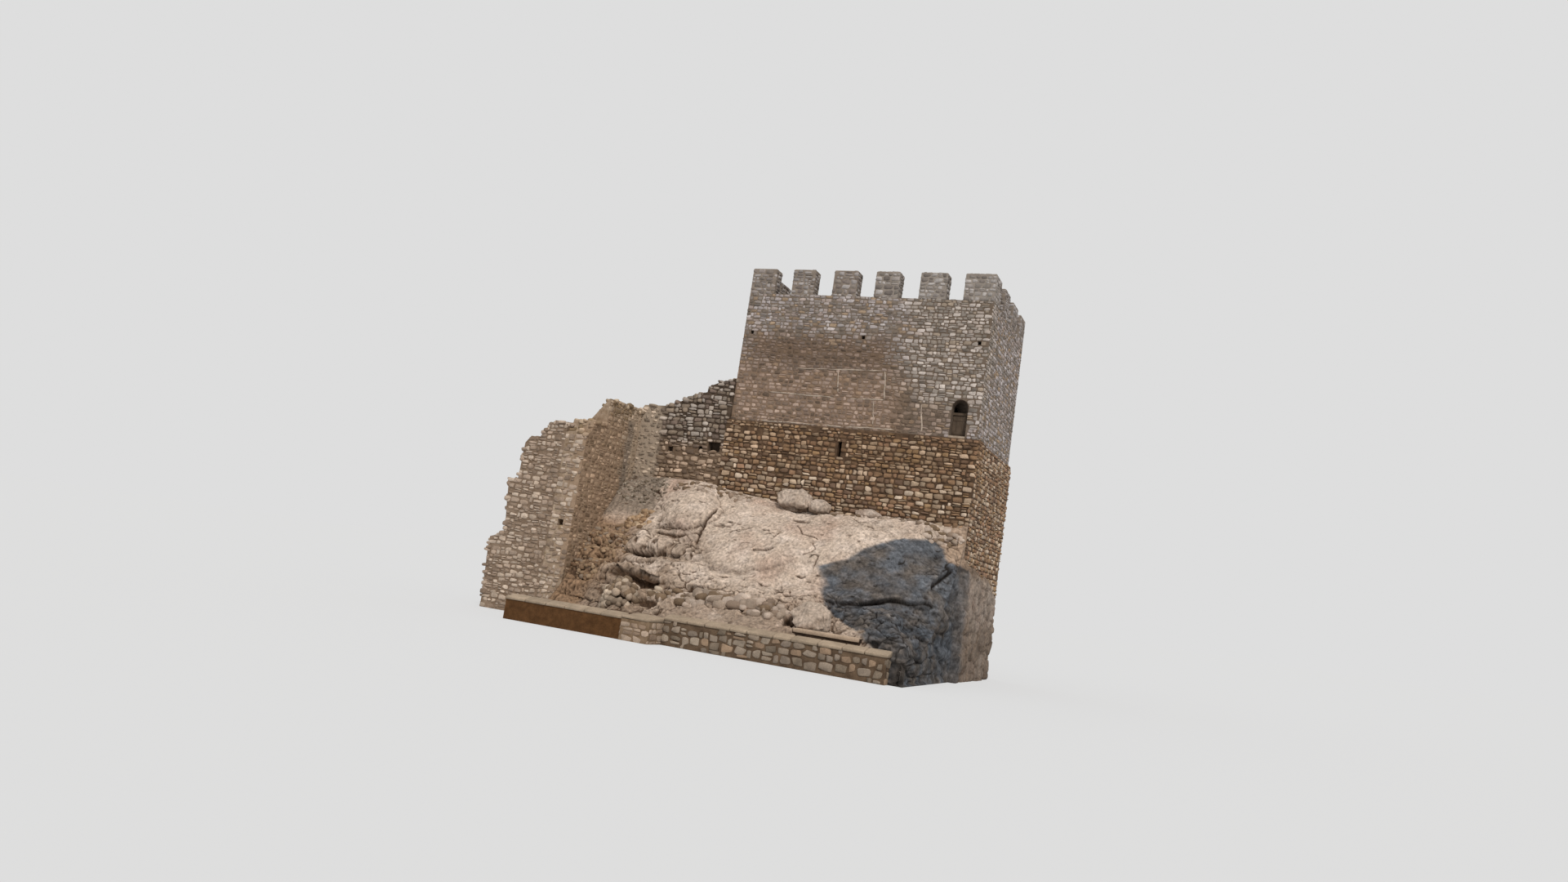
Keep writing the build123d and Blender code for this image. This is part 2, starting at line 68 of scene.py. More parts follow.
class Seed(IntEnum):
    """First seed of each run of random draws."""

    KEEP = 1187
    BASE = 1197
    MERLONS = 1287
    PARAPETS = 1687
    TERRACE = 1787
    RUIN = 1887
    RUIN_TOPS = 1947
    LOW_WALL = 1987
    COPING = 2037
    BOULDERS = 2087
    HEAP = 2117
    KERB = 2122
    NESTS = 2127


def paint(code: str) -> Array:
    """Linear red, green and blue of a display colour, six hexadecimal digits after a hash sign."""
    parts = np.array([int(code[k : k + 2], 16) for k in (1, 3, 5)]) / 255.0
    return np.where(parts <= 0.04045, parts / 12.92, ((parts + 0.055) / 1.055) ** 2.4)


def ease(value: Array) -> Array:
    """Values clipped to 0..1 and eased at both ends: three squared less two cubed."""
    clipped = np.clip(value, 0.0, 1.0)
    return clipped * clipped * (3.0 - 2.0 * clipped)


def lengths(vectors: Array) -> Array:
    """Length of each vector, with the axes last."""
    return np.linalg.norm(vectors, axis=-1)


def lattice_value(cells: Array, seed: int) -> Array:
    """Repeatable value from 0 to 1 of each whole-number cell, made by mixing the bits of its place."""
    whole = cells.astype(np.int64)
    mixed = whole[..., 0] * 374761393 + whole[..., 1] * 668265263 + whole[..., 2] * 1442695041
    mixed = (mixed + seed * 974634777) & 0x7FFFFFFF
    mixed = ((mixed ^ (mixed >> 13)) * 1274126177) & 0x7FFFFFFF
    mixed = ((mixed ^ (mixed >> 16)) * 1103515245) & 0x7FFFFFFF
    return ((mixed ^ (mixed >> 15)) & 0xFFFFFF) / float(0xFFFFFF)


def smooth_noise(points: Array, scale: float, seed: int) -> Array:
    """Value noise: random values at lattice corners, eased across each cell.

    Args:
        points: places, with the three axes last.
        scale: size of a lattice cell.
        seed: number of the pattern.

    Returns:
        Values from -1 to 1.
    """
    place = points / scale
    corner_low = np.floor(place)
    share = ease(place - corner_low)
    total = np.zeros(points.shape[:-1])
    for corner in np.ndindex(2, 2, 2):
        step = np.array(corner)
        weight = np.prod(np.where(step == 1, share, 1.0 - share), axis=-1)
        total += weight * lattice_value(corner_low + step, seed)
    return total * 2.0 - 1.0


@dataclass(frozen=True)
class Noise:
    """Layered value noise: cell size, number of layers, pattern and scale along each axis."""

    cell: float
    layers: int
    pattern: int
    scale: Triple = (1.0, 1.0, 1.0)
    crested: bool = False

    def at(self, points: Array) -> Array:
        """Sum of layers, each half the size and half the height of the one before.

        A crested layer is one less twice the size of the noise, so it is sharp where the noise is nothing.

        Args:
            points: places, with the three axes last.

        Returns:
            Values from about -1 to 1.
        """
        placed = points * np.array(self.scale)
        total = np.zeros(points.shape[:-1])
        for k in range(self.layers):
            value = smooth_noise(placed, self.cell * 0.5**k, self.pattern + k)
            total += 0.5**k * (1.0 - 2.0 * np.abs(value) if self.crested else value)
        return total / (2.0 - 0.5 ** (self.layers - 1))

    def other(self, number: int) -> "Noise":
        """Same noise with a pattern that many further on."""
        return replace(self, pattern=self.pattern + number)


class Side(Enum):
    """The way a flat face looks, as its rightward and upward directions seen from outside."""

    FRONT = ((1, 0, 0), (0, 0, 1))
    RIGHT = ((0, 1, 0), (0, 0, 1))
    BACK = ((-1, 0, 0), (0, 0, 1))
    LEFT = ((0, -1, 0), (0, 0, 1))
    TOP = ((1, 0, 0), (0, 1, 0))

    @property
    def axes(self) -> Array:
        """Directions to the right along the face, up it and out of it."""
        right, up = np.array(self.value, float)
        return np.stack([right, up, np.cross(right, up)])


class Detail(Enum):
    """How finely a laid stone is made: points round it, then (share of its radius, share of its height)."""

    NEAR = (10, ((1.0, -1.2), (0.97, 0.5), (0.82, 1.0), (0.0, 1.06)))
    FAR = (8, ((1.0, -1.2), (0.88, 0.85), (0.0, 1.03)))


@dataclass(frozen=True)
class Edge:
    """Soft edge of a zone along one axis: nothing at its start and whole a width further on.

    A width below zero makes it fall instead of rise, and the sway moves its start with noise.
    """

    start: float
    width: float
    sway: float = 0.0

    def share(self, value: Array, noise: Array | float = 0.0) -> Array:
        """Eased share at each value, where the given noise moves the edge."""
        return ease((value - self.start - self.sway * noise) / self.width)


@dataclass(frozen=True)
class Blocks:
    """Rock split into blocks: their size, pattern, width of joint and scale along each axis."""

    cell: float
    pattern: int
    joint: float
    scale: Triple

    def split(self, points: Array, bend: Array | float = 0.0) -> tuple[Array, Array]:
        """Blocks of the places nearest to each of a set of random seats, one seat in a lattice cell.

        Args:
            points: places, with the three axes last.
            bend: way by which the places are moved first.

        Returns:
            Share of joint, a bell curve over how much farther the second nearest seat is than the nearest,
            and a value from 0 to 1 that each block has for itself.
        """
        place = (points * np.array(self.scale) + bend) / self.cell
        home = np.floor(place)
        nearest = np.full(points.shape[:-1], np.inf)
        second, value = nearest.copy(), np.zeros(points.shape[:-1])
        for offset in np.ndindex(3, 3, 3):
            cell = home + np.array(offset) - 1.0
            seat = cell + np.stack([lattice_value(cell, self.pattern + k) for k in range(3)], axis=-1)
            reach = lengths(place - seat)
            closer = reach < nearest
            second = np.where(closer, nearest, np.minimum(second, reach))
            value = np.where(closer, lattice_value(cell, self.pattern + 9), value)
            nearest = np.minimum(nearest, reach)
        return np.exp(-(((second - nearest) / self.joint) ** 2)), value


@dataclass(frozen=True)
class Stain:
    """Soft-edged patch of colour on the walls: a box whose edges fade out and wander with noise.

    Cover is the share by which mortar hides the stones there.
    """

    low: Triple
    high: Triple
    colour: str
    strength: float
    soft: float = 0.5
    cover: float = 0.0

    WANDER = Noise(0.8, 3, 71)

    def weight(self, points: Array) -> Array:
        """Share of the stain at each point: the product of an eased rise and fall along each axis."""
        moved = points + 0.6 * self.soft * self.WANDER.at(points)[..., None]
        rise = ease((moved - np.array(self.low)) / self.soft + 0.5)
        fall = ease((np.array(self.high) - moved) / self.soft + 0.5)
        return (rise * fall).prod(axis=-1)


def add_object(name: str, data: bpy.types.ID) -> bpy.types.Object:
    """New object in the scene."""
    made = bpy.data.objects.new(name, data)
    bpy.context.scene.collection.objects.link(made)
    return made


@dataclass
class Patch:
    """Surface as arrays: points, faces of like corner counts, and a colour for each point."""

    points: Array
    faces: list[Array]
    colours: Array

    @staticmethod
    def joined(patches: list["Patch | None"]) -> "Patch":
        """One patch that holds all of the given ones, without those that came to nothing."""
        found = [patch for patch in patches if patch]
        starts = np.cumsum([0] + [len(patch.points) for patch in found[:-1]])
        faces = [face + start for patch, start in zip(found, starts) for face in patch.faces]
        points = np.concatenate([patch.points for patch in found])
        return Patch(points, faces, np.concatenate([patch.colours for patch in found]))

    def place(self, name: str, finish: Material, slot: str) -> bpy.types.Object:
        """Put the surface into the scene as a piece of the castle, shaded across its faces.

        Args:
            name: name of the new piece.
            finish: its material.
            slot: the record's slot that the finish stands for; not used.

        Returns:
            The new object, riding on the castle's one body.
        """
        mesh = bpy.data.meshes.new(name)
        corners = np.concatenate([face.ravel() for face in self.faces])
        sizes = np.concatenate([np.full(len(face), face.shape[1]) for face in self.faces])
        mesh.vertices.add(len(self.points))
        mesh.vertices.foreach_set("co", self.points.ravel())
        mesh.loops.add(len(corners))
        mesh.loops.foreach_set("vertex_index", corners.astype(np.int32))
        mesh.polygons.add(len(sizes))
        mesh.polygons.foreach_set("loop_start", (np.cumsum(sizes) - sizes).astype(np.int32))
        mesh.polygons.foreach_set("use_smooth", np.full(len(sizes), True))
        layer = mesh.color_attributes.new(COLOUR_LAYER, "FLOAT_COLOR", "POINT")
        opaque = np.concatenate([self.colours, np.ones((len(self.colours), 1))], axis=1)
        layer.data.foreach_set("color", opaque.ravel())
        mesh.update(calc_edges=True)
        mesh.validate()
        mesh.materials.append(finish)
        piece = add_object(name, mesh)
        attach(piece, "root")
        LOG.info("%s: %d triangles", name, (sizes - 2).sum())
        return piece


def grid_quads(lines: int, points: int, closed: bool = False, flip: bool = False) -> Array:
    """Four-cornered faces between neighbouring lines of points, numbered one line after another.

    Args:
        lines: number of lines.
        points: points in a line.
        closed: whether the last point of a line joins its first.
        flip: whether the faces turn from a point to the next line first, and so look the other way.

    Returns:
        Corners of each face.
    """
    here = np.arange(points if closed else points - 1)
    after = (here + 1) % points
    start = np.arange(lines - 1)[:, None] * points
    corners = [start + here, start + after, start + points + after, start + points + here]
    if flip:
        corners = [corners[k] for k in (0, 3, 2, 1)]
    return np.stack(corners, -1).reshape(-1, 4)


def fan(start: int, count: int, tip: int) -> Array:
    """Triangles from a ring of points to a tip."""
    here = np.arange(count)
    return np.stack([start + here, start + (here + 1) % count, np.full(count, tip)], -1)


def repeated(faces: Array, count: int, size: int) -> Array:
    """Faces of one body, repeated for a number of bodies of that many points each."""
    starts = np.arange(count)[:, None, None] * size
    return (faces[None] + starts).reshape(-1, faces.shape[1])


def area_normals(triangles: Array) -> Array:
    """Outward direction of each triangle, as long as twice its area."""
    return np.cross(triangles[:, 1] - triangles[:, 0], triangles[:, 2] - triangles[:, 0])


def sheet(points: Array, colours: Array, flip: bool = False) -> Patch:
    """Open surface over a grid of points with their colours; flip turns its faces the other way."""
    quads = grid_quads(*points.shape[:2], flip=flip)
    return Patch(points.reshape(-1, 3), [quads], colours.reshape(-1, 3))


def node_box(name: str) -> tuple[Array, Array]:
    """Lowest and highest corner of a node."""
    low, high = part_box(name)
    return np.array(low), np.array(high)


def node_triangles(*names: str) -> Array:
    """Triangles of CAD nodes, by corners and axes."""
    found = []
    for name in names:
        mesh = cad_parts[name].data
        mesh.calc_loop_triangles()
        points = np.empty(len(mesh.vertices) * 3)
        mesh.vertices.foreach_get("co", points)
        corners = np.empty(len(mesh.loop_triangles) * 3, np.int32)
        mesh.loop_triangles.foreach_get("vertices", corners)
        found.append(points.reshape(-1, 3)[corners].reshape(-1, 3, 3))
    return np.concatenate(found)


def split_solids(triangles: Array) -> list[Array]:
    """Separate the triangles of solids that don't touch.

    Each point takes the lowest label among the triangles it belongs to, until nothing changes.

    Args:
        triangles: triangles of one or more closed solids.

    Returns:
        One array of triangles for each solid.
    """
    places = np.round(triangles.reshape(-1, 3), 4)
    _, index = np.unique(places, axis=0, return_inverse=True)
    index = index.reshape(-1, 3)
    label = np.arange(index.max() + 1)
    changed = True
    while changed:
        lowest = label.copy()
        np.minimum.at(lowest, index.ravel(), np.repeat(label[index].min(axis=1), 3))
        changed = bool((lowest != label).any())
        label = lowest
    groups = label[index[:, 0]]
    return [triangles[groups == group] for group in np.unique(groups)]


def face_outline(triangles: Array, side: Side) -> tuple[Array, float]:
    """Outline of the outermost flat face that looks one way.

    The outline is every edge that only one triangle of that plane has.

    Args:
        triangles: triangles of the solids that share the face.
        side: the way the face looks.

    Returns:
        Edges as pairs of points in the plane, and the plane's distance along its outward direction.
    """
    right, up, out = side.axes
    depth = triangles @ out
    level = float(depth.max())
    flat = triangles[(np.abs(depth - level) < FLAT_GAP).all(axis=1)]
    plane = np.round(np.stack([flat @ right, flat @ up], axis=-1), 4)
    places, index = np.unique(plane.reshape(-1, 2), axis=0, return_inverse=True)
    corners = index.reshape(-1, 3)
    edges = np.sort(np.concatenate([corners[:, pair] for pair in ([0, 1], [1, 2], [2, 0])]), axis=1)
    edges, count = np.unique(edges, axis=0, return_counts=True)
    return places[edges[count == 1]], level


def inside_outline(points: Array, edges: Array) -> Array:
    """Whether each point lies inside an outline, by counting the edges to its right."""
    start, end = edges[None, :, 0], edges[None, :, 1]
    across = points[:, None, :]
    spans = (start[..., 1] > across[..., 1]) != (end[..., 1] > across[..., 1])
    rise = np.where(spans, end[..., 1] - start[..., 1], 1.0)
    crossing = start[..., 0] + (end[..., 0] - start[..., 0]) * (across[..., 1] - start[..., 1]) / rise
    return (spans & (across[..., 0] < crossing)).sum(axis=1) % 2 == 1


def stone_tints(palette: tuple[str, ...], count: int, rng: np.random.Generator, contrast: float) -> Array:
    """Colours of stones, chosen from a palette, each a little lighter or darker by the contrast."""
    choices = np.array([paint(code) for code in palette])
    colours = choices[rng.integers(0, len(choices), count)]
    return colours * rng.uniform(1.0 - contrast, 1.0 + contrast, (count, 1))


@dataclass(frozen=True)
class Masonry:
    """One way of laying rubble: sizes of its stones and joints, and their colours.

    Taper is the height of the top courses as a share of the mean course, split the share of stones that are
    laid as two thin ones, and gaps the places in the face where stones have fallen out.
    """

    course: float
    length: float
    joint: float
    proud: float
    palette: tuple[str, ...]
    stains: tuple[Stain, ...] = ()
    wobble: float = 0.06
    roughness: float = 0.06
    overhang: float = 0.015
    taper: float = 1.0
    contrast: float = 0.16
    split: float = 0.16
    gaps: Pairs = ()

    def stone_colours(self, centres: Array, rng: np.random.Generator) -> Array:
        """Colour of each stone: one of the palette, a little lighter or darker, then stained.

        Args:
            centres: middle of each stone.
            rng: source of chance.

        Returns:
            Linear colours, one for each stone.
        """
        colours = stone_tints(self.palette, len(centres), rng, self.contrast)
        tone = colours.mean(axis=1, keepdims=True) / np.mean([paint(code) for code in self.palette])
        for stain in self.stains:
            share = stain.strength * stain.weight(centres)[:, None]
            colours = colours * (1.0 - share) + paint(stain.colour) * tone * share
        return colours

    def cover(self, centres: Array) -> Array:
        """Share by which mortar hides each stone, the largest among the stains there."""
        shares = [stain.cover * stain.weight(centres) for stain in self.stains]
        return np.max([np.zeros(len(centres)), *shares], axis=0)


@dataclass
class StoneField:
    """Stones laid over a flat face in level courses.

    The spreads are shares of the mean rise, length and height of a stone.
    """

    masonry: Masonry
    side: Side
    detail: Detail
    rng: np.random.Generator

    BLOCK = 400
    RISE_SPREAD = (0.68, 1.32)
    RUN_SPREAD = (0.5, 1.6)
    FIRST_RISE = (0.1, 0.6)
    FIRST_RUN = (0.2, 1.6)
    TWIN_SPREAD = (0.36, 0.64)
    PROUD_SPREAD = (0.55, 1.45)
    CORNER_SPREAD = (2.6, 6.5)
    FALLEN_REACH = 0.6
    SMALLEST = 0.12
    UNEVEN = 0.22

    def middles(self, edges: Array, floor: float) -> tuple[Array, Array]:
        """Middles of stones in courses of uneven height, each stone of uneven length.

        Courses grow lower towards the top by the taper, and some stones are two thin ones.

        Args:
            edges: outline of the face.
            floor: height below which the face is hidden.

        Returns:
            Places in the plane, all inside the outline, and half the length and height of each stone.
        """
        way = self.masonry
        low, high = edges.reshape(-1, 2).min(axis=0), edges.reshape(-1, 2).max(axis=0)
        low = np.array([low[0], max(low[1], floor)])
        rows = int((high[1] - low[1]) / (way.course * 0.75)) + 3
        columns = int((high[0] - low[0]) / (way.length * 0.7)) + 5
        share = np.arange(rows) * way.course / (high[1] - low[1])
        taper = np.interp(share, [0, 1], [2 - way.taper, way.taper])
        rises = way.course * self.rng.uniform(*self.RISE_SPREAD, rows) * taper
        heights = low[1] - way.course * self.rng.uniform(*self.FIRST_RISE) + np.cumsum(rises) - rises / 2.0
        longer = (0.6 + 0.4 * rises / way.course)[:, None]
        runs = way.length * self.rng.uniform(*self.RUN_SPREAD, (rows, columns)) * longer
        starts = low[0] - way.length * self.rng.uniform(*self.FIRST_RUN, (rows, 1))
        along = starts + np.cumsum(runs, axis=1) - runs / 2.0
        upward = heights[:, None] + way.course * way.wobble * self.rng.normal(size=along.shape)
        upward += 0.9 * way.wobble * way.course * np.sin(along * 0.8 + heights[:, None] * 0.3)
        half_rises = 0.0 * runs + rises[:, None] / 2.0
        stones = np.stack([along, upward, runs / 2.0, half_rises], axis=-1).reshape(-1, 4)
        twin = self.rng.uniform(size=len(stones)) < way.split
        part = self.rng.uniform(*self.TWIN_SPREAD, (twin.sum(), 1))
        pairs = [stones[~twin]]
        for lift, piece in ((-1.0, part), (1.0, 1.0 - part)):
            thin = stones[twin].copy()
            thin[:, 1:2] += lift * (1.0 - piece) * thin[:, 3:]
            thin[:, 3:] *= piece
            pairs.append(thin)
        stones = np.concatenate(pairs)
        stones = stones[(stones[:, 1] > low[1]) & (stones[:, 1] < high[1])]
        stones = stones[inside_outline(stones[:, :2], edges)]
        for place in way.gaps:
            away = lengths(stones[:, :2] - np.array(place))
            stones = stones[away > self.FALLEN_REACH * way.course]
        return stones[:, :2], stones[:, 2:]

    def squared(self, halves: Array, angles: Array) -> Array:
        """Outlines of squared stones: rounded rectangles, a little wedged, leaning and turned.

        The cosine and sine of each angle are raised to a power below one, which pushes them out into corners.

        Args:
            halves: half the length and height of each stone.
            angles: angles of the points of each outline.

        Returns:
            Offsets from the middles, stones by points by two.
        """
        count = len(halves)
        gap = 0.5 * self.masonry.joint * self.masonry.course
        halves = np.maximum(halves - gap, 0.4 * halves)
        power = 2.0 / self.rng.uniform(*self.CORNER_SPREAD, (count, 1))
        along = np.sign(np.cos(angles)) * np.abs(np.cos(angles)) ** power
        upward = np.sign(np.sin(angles)) * np.abs(np.sin(angles)) ** power
        wedge = 1.0 + 0.16 * self.rng.normal(size=(count, 1)) * along
        lean = 0.10 * self.rng.normal(size=(count, 1)) * upward
        across, rise = (along + lean) * halves[:, :1], upward * wedge * halves[:, 1:]
        tilt = 0.05 * self.rng.normal(size=(count, 1))
        return np.stack([across - tilt * rise, rise + tilt * across], axis=-1)

    def trimmed(self, middles: Array, offsets: Array, edges: Array) -> Array:
        """Outlines cut back to the face: no offset reaches past the first edge of the face that it meets.

        Args:
            middles: middles of the stones.
            offsets: outlines about them.
            edges: outline of the face.

        Returns:
            The shortened offsets.
        """
        result = np.empty(offsets.shape)
        start, along = edges[:, 0], edges[:, 1] - edges[:, 0]
        for first in range(0, len(middles), self.BLOCK):
            block = slice(first, first + self.BLOCK)
            length = lengths(offsets[block])
            ray = (offsets[block] / length[..., None])[:, :, None, :]
            offset = start[None, None] - middles[block, None, None]
            turn = ray[..., 0] * along[:, 1] - ray[..., 1] * along[:, 0]
            turn = np.where(np.abs(turn) < 1e-9, 1e-9, turn)
            reach = (offset[..., 0] * along[:, 1] - offset[..., 1] * along[:, 0]) / turn
            share = (offset[..., 0] * ray[..., 1] - offset[..., 1] * ray[..., 0]) / turn
            met = (reach > 0.0) & (share > -1e-6) & (share < 1.0 + 1e-6)
            wall = np.where(met, reach, np.inf).min(axis=-1) + self.masonry.overhang
            result[block] = offsets[block] * np.minimum(1.0, wall / length)[..., None]
        return result

    def patch(self, edges: Array, level: float, floor: float) -> Patch | None:
        """Lay the stones and make their surfaces.

        Each stone is rings of points at shares of its outline, rising from inside the mortar to a rough,
        slightly tilted face.

        Args:
            edges: outline of the face.
            level: distance of the face along its outward direction.
            floor: height below which the face is hidden.

        Returns:
            The stones as one patch, or nothing where the face holds no stone.
        """
        way = self.masonry
        middles, halves = self.middles(edges, floor)
        if len(middles) < 2:
            return None
        round_count, rings = self.detail.value
        angles = math.tau * (np.arange(round_count) + 0.5) / round_count + np.zeros((len(middles), 1))
        offsets = self.trimmed(middles, self.squared(halves, angles), edges)
        offsets *= 1.0 - way.roughness * self.rng.uniform(0.0, 2.0, (*angles.shape, 1))
        whole = lengths(offsets).min(axis=1) > self.SMALLEST * way.course
        middles, offsets = middles[whole], offsets[whole]
        count = len(middles)
        axes = self.side.axes
        centres = middles @ axes[:2] + level * axes[2]
        bare = 1.0 - way.cover(centres)[:, None, None]
        shares = np.array([ring[0] for ring in rings[:-1]])
        rises = np.array([ring[1] for ring in rings[:-1]])
        spread = (offsets * (0.62 + 0.38 * bare))[:, None] * shares[:, None, None]
        proud = way.proud * self.rng.uniform(*self.PROUD_SPREAD, (count, 1, 1)) * (0.5 + 0.5 * bare)
        tilt = self.rng.normal(scale=self.UNEVEN, size=(count, 1, 1, 2)) * way.proud / way.course
        above = (rises > 0)[None, :, None]
        height = proud * rises[None, :, None] + (spread * tilt).sum(axis=-1) * above
        height += way.proud * self.UNEVEN * self.rng.normal(size=height.shape) * above
        flat = middles[:, None, None, :] + spread
        crown = np.concatenate([middles, proud[:, 0] * rings[-1][1]], axis=1)
        ringed = np.concatenate([flat, height[..., None]], axis=-1).reshape(count, -1, 3)
        local = np.concatenate([ringed, crown[:, None]], axis=1)
        points = local @ axes + level * axes[2]
        colours = way.stone_colours(centres, self.rng)
        ring_count = len(rings) - 1
        crown_number = ring_count * round_count
        quads = grid_quads(ring_count, round_count, closed=True)
        fans = fan(crown_number - round_count, round_count, crown_number)
        faces = [repeated(part, count, crown_number + 1) for part in (quads, fans)]
        return Patch(points.reshape(-1, 3), faces, np.repeat(colours, crown_number + 1, axis=0))


def lay_stones(
    masonry: Masonry, triangles: Array, side: Side, detail: Detail, seed: int, floor: float = OPEN_FLOOR
) -> Patch | None:
    """Stones over the outermost flat face of solids on one side, or nothing where it holds none."""
    field = StoneField(masonry, side, detail, np.random.default_rng(seed))
    return field.patch(*face_outline(triangles, side), floor)


def turns(angles: Array) -> Array:
    """Rotation matrix of each body, from its angles about X, then Y, then Z."""
    total = np.tile(np.eye(3), (len(angles), 1, 1))
    for axis, first, second in ((2, 0, 1), (1, 2, 0), (0, 1, 2)):
        turn = np.tile(np.eye(3), (len(angles), 1, 1))
        turn[:, first, first] = turn[:, second, second] = np.cos(angles[:, axis])
        turn[:, second, first] = np.sin(angles[:, axis])
        turn[:, first, second] = -turn[:, second, first]
        total = total @ turn
    return total


@dataclass(frozen=True)
class LooseStones:
    """Rounded blocks: a ball whose sines and cosines are raised to a power, then scaled and roughened."""

    boxiness: float = 0.55
    around: int = 8
    bands: int = 4
    roughness: float = 0.10

    APART = 7.3
    WEAR = 1.3

    def patch(self, centres: Array, sizes: Array, angles: Array, colours: Array, seed: int) -> Patch:
        """Make one block at each centre.

        Args:
            centres: middles of the blocks.
            sizes: half sizes of each block.
            angles: turns of each block about X, Y and Z.
            colours: colour of each block.
            seed: number of the roughness pattern.

        Returns:
            All blocks as one patch.
        """
        long = np.linspace(0.0, math.tau, self.around, endpoint=False)
        tall = np.linspace(-math.pi / 2.0, math.pi / 2.0, self.bands + 2)[1:-1, None]
        axes = [np.cos(tall) * np.cos(long), np.cos(tall) * np.sin(long), np.sin(tall) + 0.0 * long]
        ball = np.concatenate([np.stack(axes, axis=-1).reshape(-1, 3), [[0.0, 0.0, -1.0], [0.0, 0.0, 1.0]]])
        shape = np.sign(ball) * np.abs(ball) ** self.boxiness
        offset = np.arange(len(centres))[:, None, None] * self.APART
        rough = 1.0 + self.roughness * Noise(1.0, 2, seed).at(ball[None] * self.WEAR + offset)[..., None]
        local = shape[None] * rough * sizes[:, None, :]
        points = np.einsum("nij,npj->npi", turns(angles), local) + centres[:, None, :]
        pole = self.bands * self.around
        low, top = fan(0, self.around, pole)[:, [1, 0, 2]], fan(pole - self.around, self.around, pole + 1)
        fans = np.concatenate([low, top])
        quads = grid_quads(self.bands, self.around, closed=True)
        faces = [repeated(part, len(centres), len(ball)) for part in (quads, fans)]
        return Patch(points.reshape(-1, 3), faces, np.repeat(colours, len(ball), axis=0))


def scatter(triangles: Array, count: int, rng: np.random.Generator) -> tuple[Array, Array]:
    """Points spread by chance over triangles, evenly by area, and the outward direction at each."""
    cross = area_normals(triangles)
    area = lengths(cross)
    chosen = rng.choice(len(triangles), count, p=area / area.sum())
    first, second = np.sqrt(rng.uniform(size=(count, 1))), rng.uniform(size=(count, 1))
    corner = triangles[chosen]
    points = corner[:, 0] * (1 - first) + corner[:, 1] * first * (1 - second) + corner[:, 2] * first * second
    return points, cross[chosen] / area[chosen, None]


